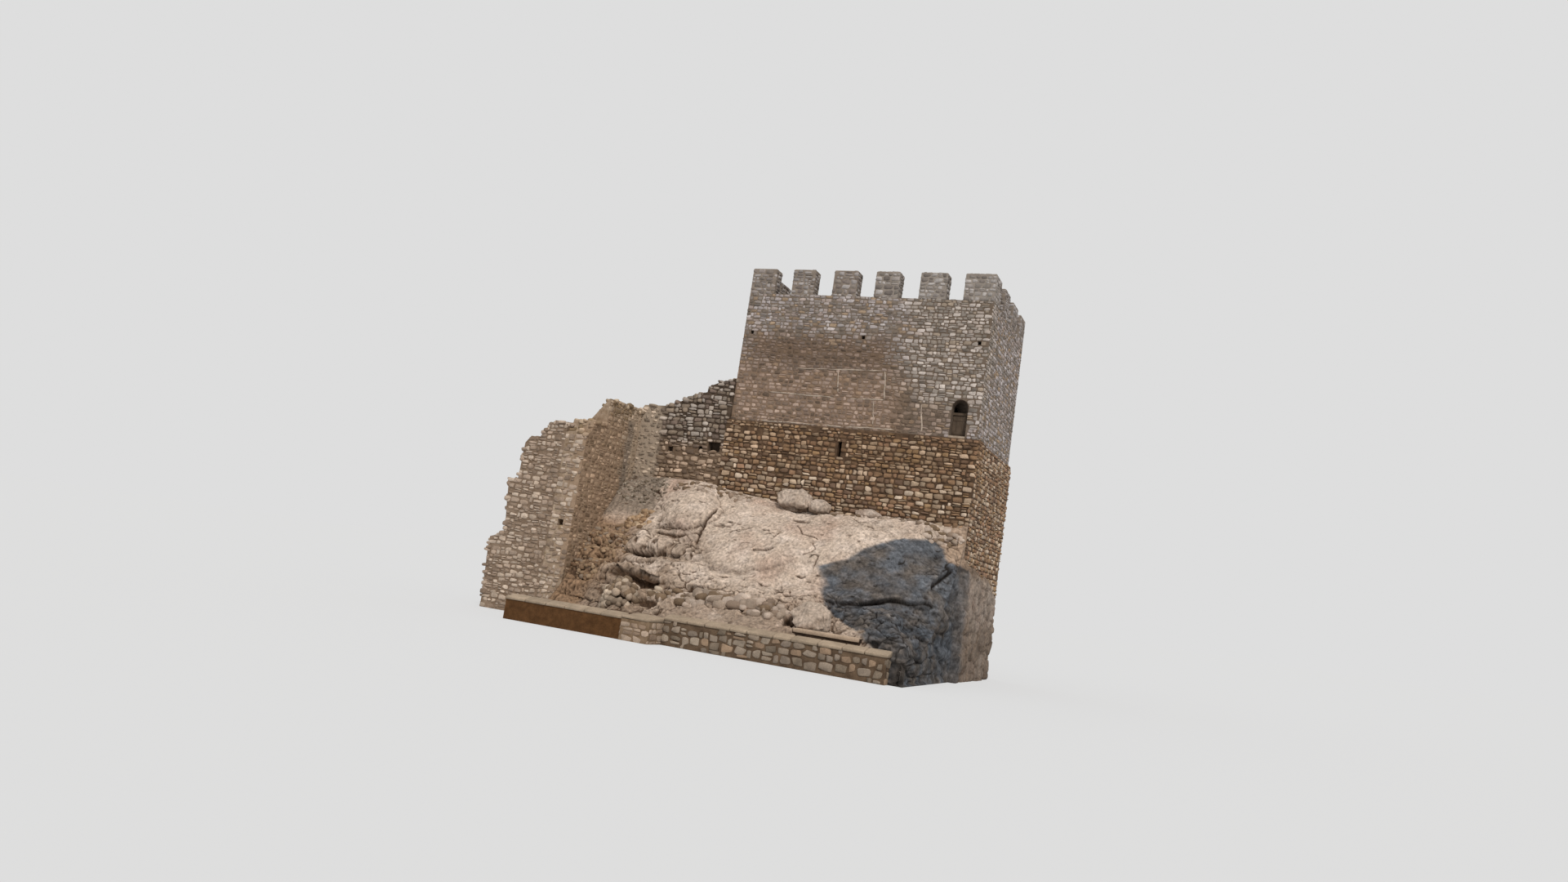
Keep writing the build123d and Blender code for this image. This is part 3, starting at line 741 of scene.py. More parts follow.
class Shader:
    """Node tree of one material, put together in small steps."""

    GRAIN_STRENGTH = 0.8
    GRAIN_LAYERS = 6.0
    GLOSS = 0.18
    FINER = 0.62
    MIDDLE = (0.28, 0.72)

    def __init__(self, name: str, roughness: float, bump: float, bump_scale: float) -> None:
        """Start a matte material with a fine grain.

        Args:
            name: name of the material.
            roughness: roughness of the surface.
            bump: depth of the grain in metres.
            bump_scale: grains in a metre.
        """
        self.material = bpy.data.materials.new(name)
        self.material.use_nodes = True
        self.tree = self.material.node_tree
        self.tree.nodes.clear()
        self.place = self.add("ShaderNodeTexCoord").outputs["Object"]
        grain = self.noise(bump_scale, self.GRAIN_LAYERS)
        bumped = self.add("ShaderNodeBump", Strength=self.GRAIN_STRENGTH, Distance=bump, Height=grain)
        grained = bumped.outputs["Normal"]
        self.surface = self.add("ShaderNodeBsdfPrincipled", Roughness=roughness, Normal=grained)
        self.surface.inputs["Specular IOR Level"].default_value = self.GLOSS
        self.add("ShaderNodeOutputMaterial", Surface=self.surface.outputs["BSDF"])

    def add(self, kind: str, **values: Socket | float | Triple) -> bpy.types.Node:
        """New node of a kind, with some of its inputs joined to outputs or set to plain values."""
        node = self.tree.nodes.new(kind)
        for name, value in values.items():
            self.link(value, node.inputs[name])
        return node

    def link(self, value: Socket | float | tuple[float, ...], target: Socket) -> None:
        """Join an output to an input, or set the input to a plain value."""
        if isinstance(value, Socket):
            self.tree.links.new(value, target)
        else:
            target.default_value = value

    def noise(self, scale: float, detail: float, squash: Triple = (1, 1, 1)) -> Socket:
        """Noise on the object's own coordinates: cells in a metre, finer layers, scale along each axis."""
        squashed = self.add("ShaderNodeMapping", Vector=self.place, Scale=squash).outputs["Vector"]
        sizes = {"Scale": scale, "Detail": detail, "Roughness": self.FINER}
        return self.add("ShaderNodeTexNoise", Vector=squashed, **sizes).outputs["Fac"]

    def ramp(self, value: Socket, places: tuple[float, float], low: Array, high: Array) -> Socket:
        """Colour that runs from one to another between two places of a value."""
        node = self.add("ShaderNodeValToRGB", Fac=value)
        for point, place, colour in zip(node.color_ramp.elements, places, (low, high)):
            point.position = place
            point.color = (*colour, 1.0)
        return node.outputs["Color"]

    def mix(self, share: Socket | float, first: Socket, second: Socket | tuple, blend: str = "MIX") -> Socket:
        """Mix of two colours by a share, each a socket or plain values, in one of Blender's ways."""
        node = self.add("ShaderNodeMix")
        node.data_type = "RGBA"
        node.blend_type = blend
        for value, slot in ((share, "Factor"), (first, 6), (second, 7)):
            self.link(value, node.inputs[slot])
        return node.outputs[2]

    def shaded(self, colour: Socket, scale: float, detail: float, low: float, high: float) -> Socket:
        """Colour made darker and lighter by noise of a scale and detail, between two factors."""
        factor = self.ramp(self.noise(scale, detail), self.MIDDLE, np.full(3, low), np.full(3, high))
        return self.mix(1.0, colour, factor, "MULTIPLY")

    def stain(self, base: Socket, mark: Stain) -> Socket:
        """Lay a stain over a colour: an eased rise and fall along each axis, shifted by noise.

        Args:
            base: the colour below.
            mark: the stain.

        Returns:
            The stained colour.
        """
        wander = self.add("ShaderNodeMath")
        wander.operation = "MULTIPLY_ADD"
        moved = self.add("ShaderNodeVectorMath")
        for slot, value in enumerate((self.noise(1.3, 4.0), 1.6 * mark.soft, -0.8 * mark.soft)):
            self.link(value, wander.inputs[slot])
        self.link(self.place, moved.inputs[0])
        self.link(wander.outputs[0], moved.inputs[1])
        share = self.add("ShaderNodeVectorMath")
        share.operation = "MULTIPLY"
        for slot, (edge, way) in enumerate(((mark.low, 0.5), (mark.high, -0.5))):
            step = self.add("ShaderNodeMapRange")
            step.data_type = "FLOAT_VECTOR"
            step.interpolation_type = "SMOOTHSTEP"
            step.inputs[7].default_value = [value - way * mark.soft for value in edge]
            step.inputs[8].default_value = [value + way * mark.soft for value in edge]
            step.inputs[10].default_value = (1.0, 1.0, mark.strength) if slot else (1.0, 1.0, 1.0)
            self.link(moved.outputs[0], step.inputs[6])
            self.link(step.outputs[1], share.inputs[slot])
        parts = self.add("ShaderNodeSeparateXYZ")
        self.link(share.outputs[0], parts.inputs[0])
        product = parts.outputs[0]
        for axis in (1, 2):
            times = self.add("ShaderNodeMath")
            times.operation = "MULTIPLY"
            self.link(product, times.inputs[0])
            self.link(parts.outputs[axis], times.inputs[1])
            product = times.outputs[0]
        return self.mix(product, base, (*paint(mark.colour), 1.0))

    def done(self, colour: Socket) -> Material:
        """Give the surface its colour and hand the material over."""
        self.link(colour, self.surface.inputs["Base Color"])
        return self.material


@dataclass(frozen=True)
class StoneFinish:
    """Stone that takes its colour from the piece's own layer, mottled and grained."""

    name: str
    mottle: float = 0.28
    speckle: float = 0.22
    speckle_scale: float = 26.0
    grain: float = 0.012
    grain_scale: float = 16.0

    ROUGHNESS = 0.93
    MOTTLING = (2.2, 5.0)
    SPECKLE_LAYERS = 4.0

    def material(self) -> Material:
        """Build the material."""
        shader = Shader(self.name, self.ROUGHNESS, self.grain, self.grain_scale)
        layer = shader.add("ShaderNodeAttribute")
        layer.attribute_name = COLOUR_LAYER
        colour = layer.outputs["Color"]
        marks = ((*self.MOTTLING, self.mottle), (self.speckle_scale, self.SPECKLE_LAYERS, self.speckle))
        for scale, layers, share in marks:
            colour = shader.shaded(colour, scale, layers, 1.0 - share, 1.0 + share)
        return shader.done(colour)


@dataclass(frozen=True)
class MortarFinish:
    """Lime and earth between the stones, with patches and stains."""

    name: str
    light: str
    dark: str
    stains: tuple[Stain, ...] = ()
    grain: float = 0.02
    grain_scale: float = 9.0

    ROUGHNESS = 0.96
    PATCHES = (3.1, 7.0)
    PATCH_EDGE = (0.32, 0.68)
    SPECKS = (31.0, 3.0, 0.78, 1.16)

    def material(self) -> Material:
        """Build the material."""
        shader = Shader(self.name, self.ROUGHNESS, self.grain, self.grain_scale)
        patches = shader.noise(*self.PATCHES)
        colour = shader.ramp(patches, self.PATCH_EDGE, paint(self.dark), paint(self.light))
        for mark in self.stains:
            colour = shader.stain(colour, mark)
        return shader.done(shader.shaded(colour, *self.SPECKS))


@dataclass(frozen=True)
class TimberFinish:
    """Weathered boards with grain along one axis."""

    name: str
    light: str
    dark: str
    along: Triple

    ROUGHNESS = 0.85
    BUMPS = (0.003, 60.0)
    GRAIN = (6.0, 8.0)
    GRAIN_EDGE = (0.3, 0.7)
    WEAR = (1.7, 4.0, 0.75, 1.15)

    def material(self) -> Material:
        """Build the material."""
        shader = Shader(self.name, self.ROUGHNESS, *self.BUMPS)
        grain = shader.noise(*self.GRAIN, self.along)
        colour = shader.ramp(grain, self.GRAIN_EDGE, paint(self.dark), paint(self.light))
        return shader.done(shader.shaded(colour, *self.WEAR))


def dress(material: Material, *nodes: str) -> None:
    """Give CAD nodes a finish in place of their packed one."""
    for name in nodes:
        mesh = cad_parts[name].data
        mesh.materials.clear()
        mesh.materials.append(material)
        LOG.info("%s: dressed in %s", name, material.name)


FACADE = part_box("keep_front_wall")
KEEP_X = FACADE[0].x
KEEP_Y = FACADE[0].y
NEAR_Y, FAR_Y = KEEP_Y - 1.0, KEEP_Y + 1.0
FLANK_LEFT, FLANK_RIGHT = KEEP_X - 5.4, KEEP_X - 4.4
SEAM_Y, CORNER_Y = KEEP_Y - 1.2, KEEP_Y + 0.5

DARK_LIFT = Stain((KEEP_X + 0.2, NEAR_Y, 13.4), (KEEP_X + 7.9, FAR_Y, 15.1), "#6b5747", 0.8, 1.3, 0.4)
BROWN_LIFTS = Stain((KEEP_X - 1.0, NEAR_Y, 10.0), (KEEP_X + 8.7, FAR_Y, 13.5), "#866d59", 0.65, 1.2, 0.3)
LOW_BROWN = Stain((KEEP_X + 8.0, NEAR_Y, 10.0), (KEEP_X + 10.7, FAR_Y, 12.1), "#776250", 0.7, 0.9)
PALE_RIGHT = Stain((KEEP_X + 8.4, NEAR_Y, 11.5), (KEEP_X + 13.0, FAR_Y, 18.0), "#a4998d", 0.5, 1.6)
DARK_JOINTS = Stain((KEEP_X + 8.2, NEAR_Y, 10.5), (KEEP_X + 13.0, FAR_Y, 17.2), "#645548", 0.7, 1.6)
KEEP_STAINS = (BROWN_LIFTS, DARK_LIFT, PALE_RIGHT, LOW_BROWN)
MERLON_PALE = Stain((KEEP_X + 6.5, NEAR_Y, 16.0), (KEEP_X + 13.0, FAR_Y, 19.0), "#a5a09a", 0.25, 2.0)
BAND_RUST = Stain((KEEP_X - 1.0, NEAR_Y, 8.4), (KEEP_X + 13.0, FAR_Y, 11.0), "#7d6044", 0.42, 1.6)
BROWN_FLANK = Stain((FLANK_LEFT, KEEP_Y - 5.4, 2.0), (FLANK_RIGHT, SEAM_Y, 9.8), "#987f69", 0.7, 0.9, 0.5)
SMOOTH_FLANK = Stain((FLANK_LEFT, SEAM_Y, 4.0), (FLANK_RIGHT, FAR_Y, 12.0), "#b3a08c", 0.6, 0.7, 0.7)
# Painted shade: a dark vertical band where the flank wall steps back.
SEAM_SHADE = Stain((FLANK_LEFT, KEEP_Y - 1.25, 4.0), (FLANK_RIGHT, KEEP_Y - 0.65, 9.9), "#6c635b", 0.6, 0.4)
FLANK_STAINS = (SMOOTH_FLANK, BROWN_FLANK, SEAM_SHADE)
SMOOTH_CORNER = Stain((KEEP_X - 6.5, NEAR_Y, 5.0), (KEEP_X - 3.7, CORNER_Y, 12.0), "#ab9a88", 0.85, 0.6, 0.8)
BROWN_CURTAIN = Stain((KEEP_X - 3.9, NEAR_Y, 5.0), (KEEP_X + 0.4, CORNER_Y, 9.2), "#9a7f66", 0.55, 1.0)


@dataclass
class Keep:
    """Keep walls: upper stage in flush rubble, lower stage in coursed rubble with open joints."""

    upper: Masonry = Masonry(
        course=0.175, length=0.265, joint=0.09, proud=0.02,
        palette=("#998f8b", "#8a817b", "#a39a98", "#7f766f", "#ada5a3", "#937f6b", "#9b8d86", "#766b61"),
        stains=KEEP_STAINS,
        wobble=0.1, contrast=0.2,
    )
    lower: Masonry = Masonry(
        course=0.215, length=0.30, joint=0.12, proud=0.05,
        palette=(
            *("#9e8872", "#8c7057", "#ab9680", "#806650", "#bcaa97"),
            *("#967a5c", "#93816e", "#735d4d", "#93745d"),
        ),
        stains=(BAND_RUST,),
        wobble=0.09, taper=0.8, contrast=0.22,
    )
    upper_mortar: MortarFinish = MortarFinish(
        "keep_mortar", "#877a6f", "#695c4f", (BROWN_LIFTS, DARK_LIFT, DARK_JOINTS)
    )
    lower_mortar: MortarFinish = MortarFinish("base_mortar", "#67513e", "#403227")
    fallen: Pairs = (
        *((-0.75, 10.08), (-0.42, 10.18), (0.2, 10.08), (2.66, 10.02), (2.8, 10.03), (3.12, 10.06)),
    )
    front_floor: float = 5.6

    def build(self) -> None:
        """Face all four sides of both stages and dress the walls behind."""
        stone = StoneFinish("keep_rubble").material()
        base_stone = StoneFinish("base_rubble", mottle=0.32).material()
        walls = [*(f"keep_{way}_wall" for way in SIDES), *(f"{way}_parapet" for way in SIDES)]
        dress(self.upper_mortar.material(), *walls)
        bases = [f"keep_base_{way}" for way in SIDES]
        dress(self.lower_mortar.material(), *bases)
        for number, side in enumerate((Side.FRONT, Side.RIGHT, Side.BACK, Side.LEFT)):
            front = side is Side.FRONT
            detail = Detail.NEAR if front else Detail.FAR
            patch = lay_stones(self.upper, node_triangles(*walls), side, detail, Seed.KEEP + number)
            patch.place(f"keep_{side.name.lower()}_facing", stone, "keep_stone")
            lower = replace(self.lower, gaps=self.fallen) if front else self.lower
            floor = self.front_floor if front else OPEN_FLOOR
            patch = lay_stones(lower, node_triangles(*bases), side, detail, Seed.BASE + number, floor)
            patch.place(f"base_{side.name.lower()}_facing", base_stone, "base_stone")


@dataclass
class Battlements:
    """Merlons and the inner faces of the parapets, and the flags of the terrace."""

    masonry: Masonry = Masonry(
        course=0.20, length=0.29, joint=0.10, proud=0.018,
        palette=("#8c837e", "#7d746d", "#97908d", "#736963", "#a29b98"),
        stains=(MERLON_PALE,),
    )
    flags: Masonry = Masonry(
        course=0.55, length=0.75, joint=0.03, proud=0.012,
        palette=("#8f857a", "#9b9186", "#83786c"),
        roughness=0.02,
        overhang=-0.01, split=0.0,
    )

    FRONT_MERLONS = 6
    SEEDS_PER_NODE = 40
    SEEDS_PER_SOLID = 6

    def build(self) -> None:
        """Face every merlon on all sides, the parapets inside and on top, and the terrace."""
        stone = StoneFinish("battlement_rubble").material()
        fronts = [f"front_merlon_{number + 1}" for number in range(self.FRONT_MERLONS)]
        groups = [*fronts, "left_merlons", "right_merlons", "back_merlons"]
        mortar = MortarFinish("battlement_mortar", "#93877c", "#73675d", (MERLON_PALE,)).material()
        dress(mortar, *groups)
        patches = []
        for number, name in enumerate(groups):
            for part, solid in enumerate(split_solids(node_triangles(name))):
                first = Seed.MERLONS + number * self.SEEDS_PER_NODE + part * self.SEEDS_PER_SOLID
                for turn, side in enumerate(Side):
                    patches.append(lay_stones(self.masonry, solid, side, Detail.FAR, first + turn))
        Patch.joined(patches).place("merlon_facing", stone, "keep_stone")
        patches = []
        for number, (way, side) in enumerate(zip(SIDES, (Side.BACK, Side.FRONT, Side.RIGHT, Side.LEFT))):
            triangles = node_triangles(f"{way}_parapet")
            for turn, look in enumerate((side, Side.TOP)):
                seed = Seed.PARAPETS + number * 2 + turn
                patches.append(lay_stones(self.masonry, triangles, look, Detail.FAR, seed))
        Patch.joined(patches).place("parapet_inner_facing", stone, "keep_stone")
        dress(MortarFinish("terrace_bed", "#7d7266", "#5f554b").material(), "roof_terrace")
        paving = lay_stones(self.flags, node_triangles("roof_terrace"), Side.TOP, Detail.FAR, Seed.TERRACE)
        flag_stone = StoneFinish("flag_stone", mottle=0.18, grain=0.004).material()
        paving.place("terrace_flags", flag_stone, "paving")


@dataclass
class Ruin:
    """Curtain wall, flank wall and turret wall, faced with rubble and broken along their tops."""

    curtain: Masonry = Masonry(
        course=0.225, length=0.32, joint=0.12, proud=0.05,
        palette=("#8f8377", "#9f9388", "#7b6d60", "#aca197", "#73645a", "#88796a"),
        stains=(BROWN_CURTAIN, SMOOTH_CORNER),
        wobble=0.15, contrast=0.2,
    )
    flank: Masonry = Masonry(
        course=0.22, length=0.31, joint=0.10, proud=0.022,
        palette=("#ab9883", "#bba892", "#968167", "#a18e79", "#857159"),
        stains=FLANK_STAINS,
        wobble=0.13, split=0.28,
    )
    turret: Masonry = Masonry(
        course=0.215, length=0.32, joint=0.10, proud=0.034,
        palette=("#a39080", "#968373", "#b09e8d", "#8b7868", "#b9a898"),
        wobble=0.21, roughness=0.09, split=0.28,
    )
    curtain_floor: float = 5.8
    broken_per_area: float = 17.0
    broken_half_size: Triple = (0.19, 0.15, 0.10)
    broken_turn: Triple = (0.2, 0.2, 0.5)
    broken_slope: float = 0.2
    broken_foot: float = 1.0
    low_joint_share: float = 0.32

    SEEDS_PER_WALL = 5

    def build(self) -> None:
        """Face the three walls on all open sides, then strew their broken edges with blocks."""
        stone = StoneFinish("ruin_rubble", mottle=0.3).material()
        low_joints = replace(BROWN_CURTAIN, strength=self.low_joint_share)
        curtain = MortarFinish("curtain_mortar", "#5a4c40", "#3a2f26", (low_joints, SMOOTH_CORNER))
        dress(curtain.material(), "curtain_wall")
        dress(MortarFinish("flank_mortar", "#ad9a86", "#7a6550", FLANK_STAINS).material(), "flank_wall")
        dress(MortarFinish("turret_mortar", "#8d7a69", "#6f5c4b").material(), "turret_front_wall")
        walls = {
            "curtain_wall": (self.curtain, (Side.FRONT, Side.BACK, Side.LEFT)),
            "flank_wall": (self.flank, (Side.FRONT, Side.RIGHT, Side.LEFT)),
            "turret_front_wall": (self.turret, (Side.FRONT, Side.BACK)),
        }
        for number, (name, (masonry, sides)) in enumerate(walls.items()):
            patches = []
            for turn, side in enumerate(sides):
                detail = Detail.FAR if side in (Side.BACK, Side.LEFT) else Detail.NEAR
                laying = self.turret if (name, side) == ("flank_wall", Side.FRONT) else masonry
                floor = self.curtain_floor if (name, side) == ("curtain_wall", Side.FRONT) else OPEN_FLOOR
                seed = Seed.RUIN + number * self.SEEDS_PER_WALL + turn
                patches.append(lay_stones(laying, node_triangles(name), side, detail, seed, floor))
            patches.append(self.broken_edge(name, masonry, Seed.RUIN_TOPS + number))
            Patch.joined(patches).place(f"{name}_facing", stone, "ruin_stone")

    def broken_edge(self, name: str, masonry: Masonry, seed: int) -> Patch:
        """Blocks bedded in a wall's broken top and stepped end.

        Args:
            name: the wall.
            masonry: the way it is laid, for its colours.
            seed: number of the spread.

        Returns:
            The blocks as one patch.
        """
        rng = np.random.default_rng(seed)
        triangles = node_triangles(name)
        cross = area_normals(triangles)
        slope = cross / lengths(cross)[:, None]
        height, steep = triangles.mean(axis=1)[:, 2], self.broken_slope
        open_top = (slope[:, 2] > steep) & (height > self.broken_foot)
        open_end = (slope[:, 0] < -steep) & (np.abs(slope[:, 1]) < steep) & (name == "turret_front_wall")
        surface = triangles[open_top | open_end]
        area = lengths(area_normals(surface)) / 2.0
        count = int(area.sum() * self.broken_per_area)
        points, out = scatter(surface, count, rng)
        sizes = np.array(self.broken_half_size) * rng.uniform(0.6, 1.3, (count, 3))
        angles = np.stack([rng.normal(0, spread, count) for spread in self.broken_turn], axis=1)
        centres = points - out * sizes[:, 2:] * rng.uniform(0.1, 0.7, (count, 1))
        return LooseStones().patch(centres, sizes, angles, masonry.stone_colours(centres, rng), seed)


@dataclass(frozen=True)
class Ball:
    """Place in the rock: a middle and a radius along each axis."""

    centre: Triple
    radii: Triple

    def distance(self, points: Array) -> Array:
        """Distance from the middle as a share of the radii."""
        return lengths((points - np.array(self.centre)) / np.array(self.radii))


@dataclass(frozen=True)
class Bulge(Ball):
    """Rounded mass that stands out of the rock, or a hollow where its height is below zero."""

    height: float

    UNEVEN = Noise(0.8, 4, 131)
    RIM = 0.09
    FLOOR = 1.6

    def reach(self, points: Array) -> Array:
        """Distance from the middle, made uneven by noise."""
        return self.distance(points) + 0.3 * self.UNEVEN.at(points)

    def push(self, points: Array) -> Array:
        """Way out of the rock: the height of half an ellipsoid over its middle."""
        return self.height * np.sqrt(np.clip(1.0 - self.reach(points) ** 2, 0.0, 1.0))

    def rim(self, points: Array) -> Array:
        """Share of painted shade along the underside of a mass, or all over a hollow."""
        if self.height < 0.0:
            return 0.85 * ease(self.FLOOR - self.FLOOR * self.reach(points))
        lower = ease((self.centre[2] - points[..., 2]) / self.radii[2])
        return 0.5 * np.exp(-(((self.reach(points) - 1.0) / self.RIM) ** 2)) * lower


@dataclass(frozen=True)
class Groove:
    """Crack along a bent line: deepest on the line and falling off as a bell curve.

    The rock above its line stands out as a lip.
    """

    path: tuple[Triple, ...]
    width: float
    depth: float
    lip: float = 0.0

    WAVES = Noise(0.6, 3, 151)
    WAVE = 0.07
    LIP_EDGE = 0.1
    LIP_REACH = 0.8

    def near(self, points: Array) -> tuple[Array, Array]:
        """Distance to the nearest stretch of the line, and how far each place lies above that stretch."""
        wavy = points + self.WAVE * self.WAVES.at(points)[..., None]
        best, above = np.full(points.shape[:-1], np.inf), np.zeros(points.shape[:-1])
        for start, end in zip(np.array(self.path[:-1]), np.array(self.path[1:])):
            along = end - start
            share = np.clip(((wavy - start) @ along) / (along @ along), 0.0, 1.0)
            gap = wavy - start - share[..., None] * along
            reach = lengths(gap)
            above = np.where(reach < best, gap[..., 2], above)
            best = np.minimum(best, reach)
        return best, above

    def cut(self, points: Array) -> tuple[Array, Array]:
        """Way out of the rock, below zero in the crack and above it on the lip, and the share of painted
        shade in the crack.
        """
        reach, above = self.near(points)
        dark = np.exp(-((reach / self.width) ** 2))
        raised = self.lip * ease(above / self.LIP_EDGE + 0.2) * np.exp(-((reach / self.LIP_REACH) ** 2))
        return raised - self.depth * dark, dark


@dataclass(frozen=True)
class StoneNest(Ball):
    """Loose stones bedded together on the rock, inside an ellipsoid."""

    count: int
    half_size: float
    palette: tuple[str, ...]

    SHAPE = (1.25, 1.0, 0.8)
    SPREAD = (0.6, 1.35)
    LEAN = 0.2
    SUNK = 0.35
    CONTRAST = 0.16

    def patch(self, points: Array, out: Array, seed: int) -> Patch:
        """Set the stones on places chosen from the rock's own points.

        Args:
            points: the rock's points.
            out: outward direction at each.
            seed: number of the choice.

        Returns:
            The stones as one patch.
        """
        rng = np.random.default_rng(seed)
        chosen = rng.choice(np.flatnonzero(self.distance(points) < 1.0), self.count)
        sizes = self.half_size * np.array(self.SHAPE) * rng.uniform(*self.SPREAD, (self.count, 3))
        sunk = points[chosen] - out[chosen] * sizes[:, 2:] * self.SUNK
        leaning = rng.normal(0, self.LEAN, (2, self.count)).T
        angles = np.concatenate([leaning, rng.uniform(0, math.tau, (self.count, 1))], axis=1)
        tints = stone_tints(self.palette, self.count, rng, self.CONTRAST)
        return LooseStones(boxiness=0.68, roughness=0.16).patch(sunk, sizes, angles, tints, seed)


PALE_STONES = ("#9b8a7b", "#a9988a", "#857364", "#b5a496", "#75624f")
OCHRE_STONES = ("#a1866a", "#8d7359", "#b59d83", "#755e48")
HEAP_STONES = ("#8f7d6c", "#a4927f", "#75624f", "#b5a592")
PILE_STONES = ("#8e7c6b", "#a18f7d", "#746250", "#ae9d8b", "#81705f")
SCREE_STONES = ("#776b5e", "#8b7f72", "#65594b", "#9b8f81")
BROWN_STONES = ("#7e6650", "#8c745c", "#6a5340", "#9c846b", "#847465")
TOE_HOLLOW = Bulge((5.66, -5.85, 1.62), (0.36, 0.55, 0.46), -0.5)
ROCK_BROWN = "#84684e"
ROCK_SCREE = "#7b6e61"


@dataclass(frozen=True)
class RockZone:
    """Part of the rock with a colour of its own, between soft edges along the rock and up it."""

    colour: str
    strength: float
    along: Edge
    up: Edge

    def share(self, points: Array, noise: Array) -> Array:
        """Share of the zone's colour at each point, where the noise moves its edges."""
        along, up = self.along.share(points[..., 0], noise), self.up.share(points[..., 2], noise)
        return self.strength * (along * up)


@dataclass(frozen=True)
class RockTint:
    """Colours of the rock: cream to pink, brown and earthy at left, and at right a painted cast shadow, dark
    grey with reddish-brown patches.
    """

    light: str = "#cbbaac"
    cream: str = "#b9a797"
    pink: str = "#a98d7c"
    # Colour of joints, cracks and painted shade in hollows and under masses.
    crevice: str = "#4c3a2c"
    earth: str = "#867362"
    # Colour of the painted cast shadow at the rock's right end.
    shade: str = "#485059"
    # Brown patches inside the painted shadow, in the dark tone they take in shade.
    rust_in_shadow: str = "#5f5347"
    # Colour of cracks and painted shade inside the painted shadow.
    shadow_crevice: str = "#24211f"
    zones: tuple[RockZone, ...] = (
        RockZone(ROCK_BROWN, 0.8, Edge(-3.7, -1.3, 0.5), Edge(5.6, -0.9, 0.8)),
        RockZone(ROCK_SCREE, 0.85, Edge(-3.6, -1.0, 0.6), Edge(4.9, 0.6, -0.5)),
        RockZone(ROCK_BROWN, 0.6, Edge(9.7, 0.5, -0.6), Edge(4.4, 0.5, -0.5)),
    )
    ledge_side: Edge = Edge(0.9, -2.4)
    ledge_top: Edge = Edge(5.2, -1.0)
    earth_top: Edge = Edge(3.0, -0.9)
    streak_top: Edge = Edge(3.4, -0.8)
    # The painted shadow grows darker below this edge.
    shadow_darker_top: Edge = Edge(3.0, -1.0)
    darkest: float = 0.008
    stained_lip: Groove = Groove(((6.5, -4.25, 2.78), (7.8, -4.1, 2.92), (8.7, -3.3, 3.2)), 0.28, 0.0)
    # Outline of the painted shadow: pairs of height and place along the rock.
    shadow_left: Pairs = (
        *((1.2, 9.3), (1.76, 8.7), (1.85, 7.9), (2.1, 7.1), (2.85, 6.3), (3.5, 5.95)),
        *((4.09, 5.55), (4.51, 6.6), (5.18, 7.2), (5.72, 8.1), (6.03, 9.4)),
    )
    shadow_right: Pairs = ((4.7, 11.5), (5.0, 10.45), (5.63, 9.83), (6.03, 9.4))
    shadow_top: Edge = Edge(6.0, -0.25)
    shadow_soft: float = 0.3
    shadow_ragged: float = 0.22
    shadow_most: float = 0.92

    WIDE = Noise(1.7, 4, 61)
    PATCHY = Noise(0.5, 4, 67)
    RUSTED = Noise(0.7, 6, 101)
    STREAKS = Noise(0.34, 4, 97, (1.0, 1.0, 2.2))
    RAGGED = Noise(0.8, 4, 83)

    def at(self, points: Array, dark: Array, worn_and_lit: Array, own: Array, grey: Array | float = 1.0) -> Array:
        """Colour at each point: one layer over another by its share, paler on raised places for wear and
        painted highlight, and dark in cracks and painted shade.

        Args:
            points: the rock's points.
            dark: dark share of each point, for joints, cracks and painted shade.
            worn_and_lit: share by which each point is paler, for wear and painted highlight.
            own: value of the block that each point is in.
            grey: share by which the painted cast shadow at the rock's right end shows.

        Returns:
            Linear colours.
        """
        wide, patchy = self.WIDE.at(points), self.PATCHY.at(points)
        x, z = points[..., 0], points[..., 2]
        ledges = self.ledge_side.share(x) * self.ledge_top.share(z)
        # Painted cast shadow over the rock's right end.
        painted_shadow = self.painted_shadow_share(points) * grey
        # Brown patches and a stain under the lip, shown only inside the painted shadow and dark as in shade.
        rust_in_shadow = ease(0.45 + 1.2 * self.RUSTED.at(points))
        rust_in_shadow = np.maximum(rust_in_shadow, self.stained_lip.cut(points)[1] * ease(0.7 + patchy))
        layers = [
            (ease(0.3 + 0.9 * patchy), self.light),
            (ease(0.15 - 1.1 * wide) * 0.75, self.pink),
            (np.clip(ledges * (0.45 + 0.8 * (own - 0.4)), 0.0, 0.9), self.earth),
            (self.earth_top.share(z) * (0.35 + 0.5 * own), self.earth),
            *((zone.share(points, wide), zone.colour) for zone in self.zones),
            (painted_shadow, self.shade),
            (0.75 * painted_shadow * rust_in_shadow, self.rust_in_shadow),
        ]
        tone = paint(self.cream) + 0.0 * wide[..., None]
        for share, code in layers:
            tone = tone * (1.0 - share[..., None]) + paint(code) * share[..., None]
        # Raised places painted lighter, for wear and painted highlight; cracks and painted shade take the
        # crevice colour, darker inside the painted shadow.
        in_shadow = painted_shadow[..., None]
        deep = paint(self.crevice) * (1.0 - in_shadow) + paint(self.shadow_crevice) * in_shadow
        tone = tone * (1.0 + 0.3 * worn_and_lit[..., None]) * (1.0 - dark[..., None]) + deep * dark[..., None]
        # Light and dark streaks inside the painted shadow, stronger low down.
        streaked = (0.8 + 0.6 * self.streak_top.share(z))[..., None] * in_shadow
        tone = np.clip(tone * (1.0 + streaked * self.STREAKS.at(points)[..., None]), self.darkest, 1.0)
        # The painted shadow is darker towards the foot.
        return tone * (1.0 - 0.24 * painted_shadow * self.shadow_darker_top.share(z))[..., None]

    def painted_shadow_share(self, points: Array) -> Array:
        """Share of the painted cast shadow, dark grey, at the rock's right end, inside ragged edges that bend
        with height.
        """
        moved = points + self.shadow_ragged * self.RAGGED.at(points)[..., None]
        x, z = moved[..., 0], moved[..., 2]
        left, right = (np.interp(z, *np.array(line).T) for line in (self.shadow_left, self.shadow_right))
        inside = ease((x - left) / self.shadow_soft + 0.5) * ease((right - x) / self.shadow_soft + 0.5)
        return self.shadow_most * inside * self.shadow_top.share(z)


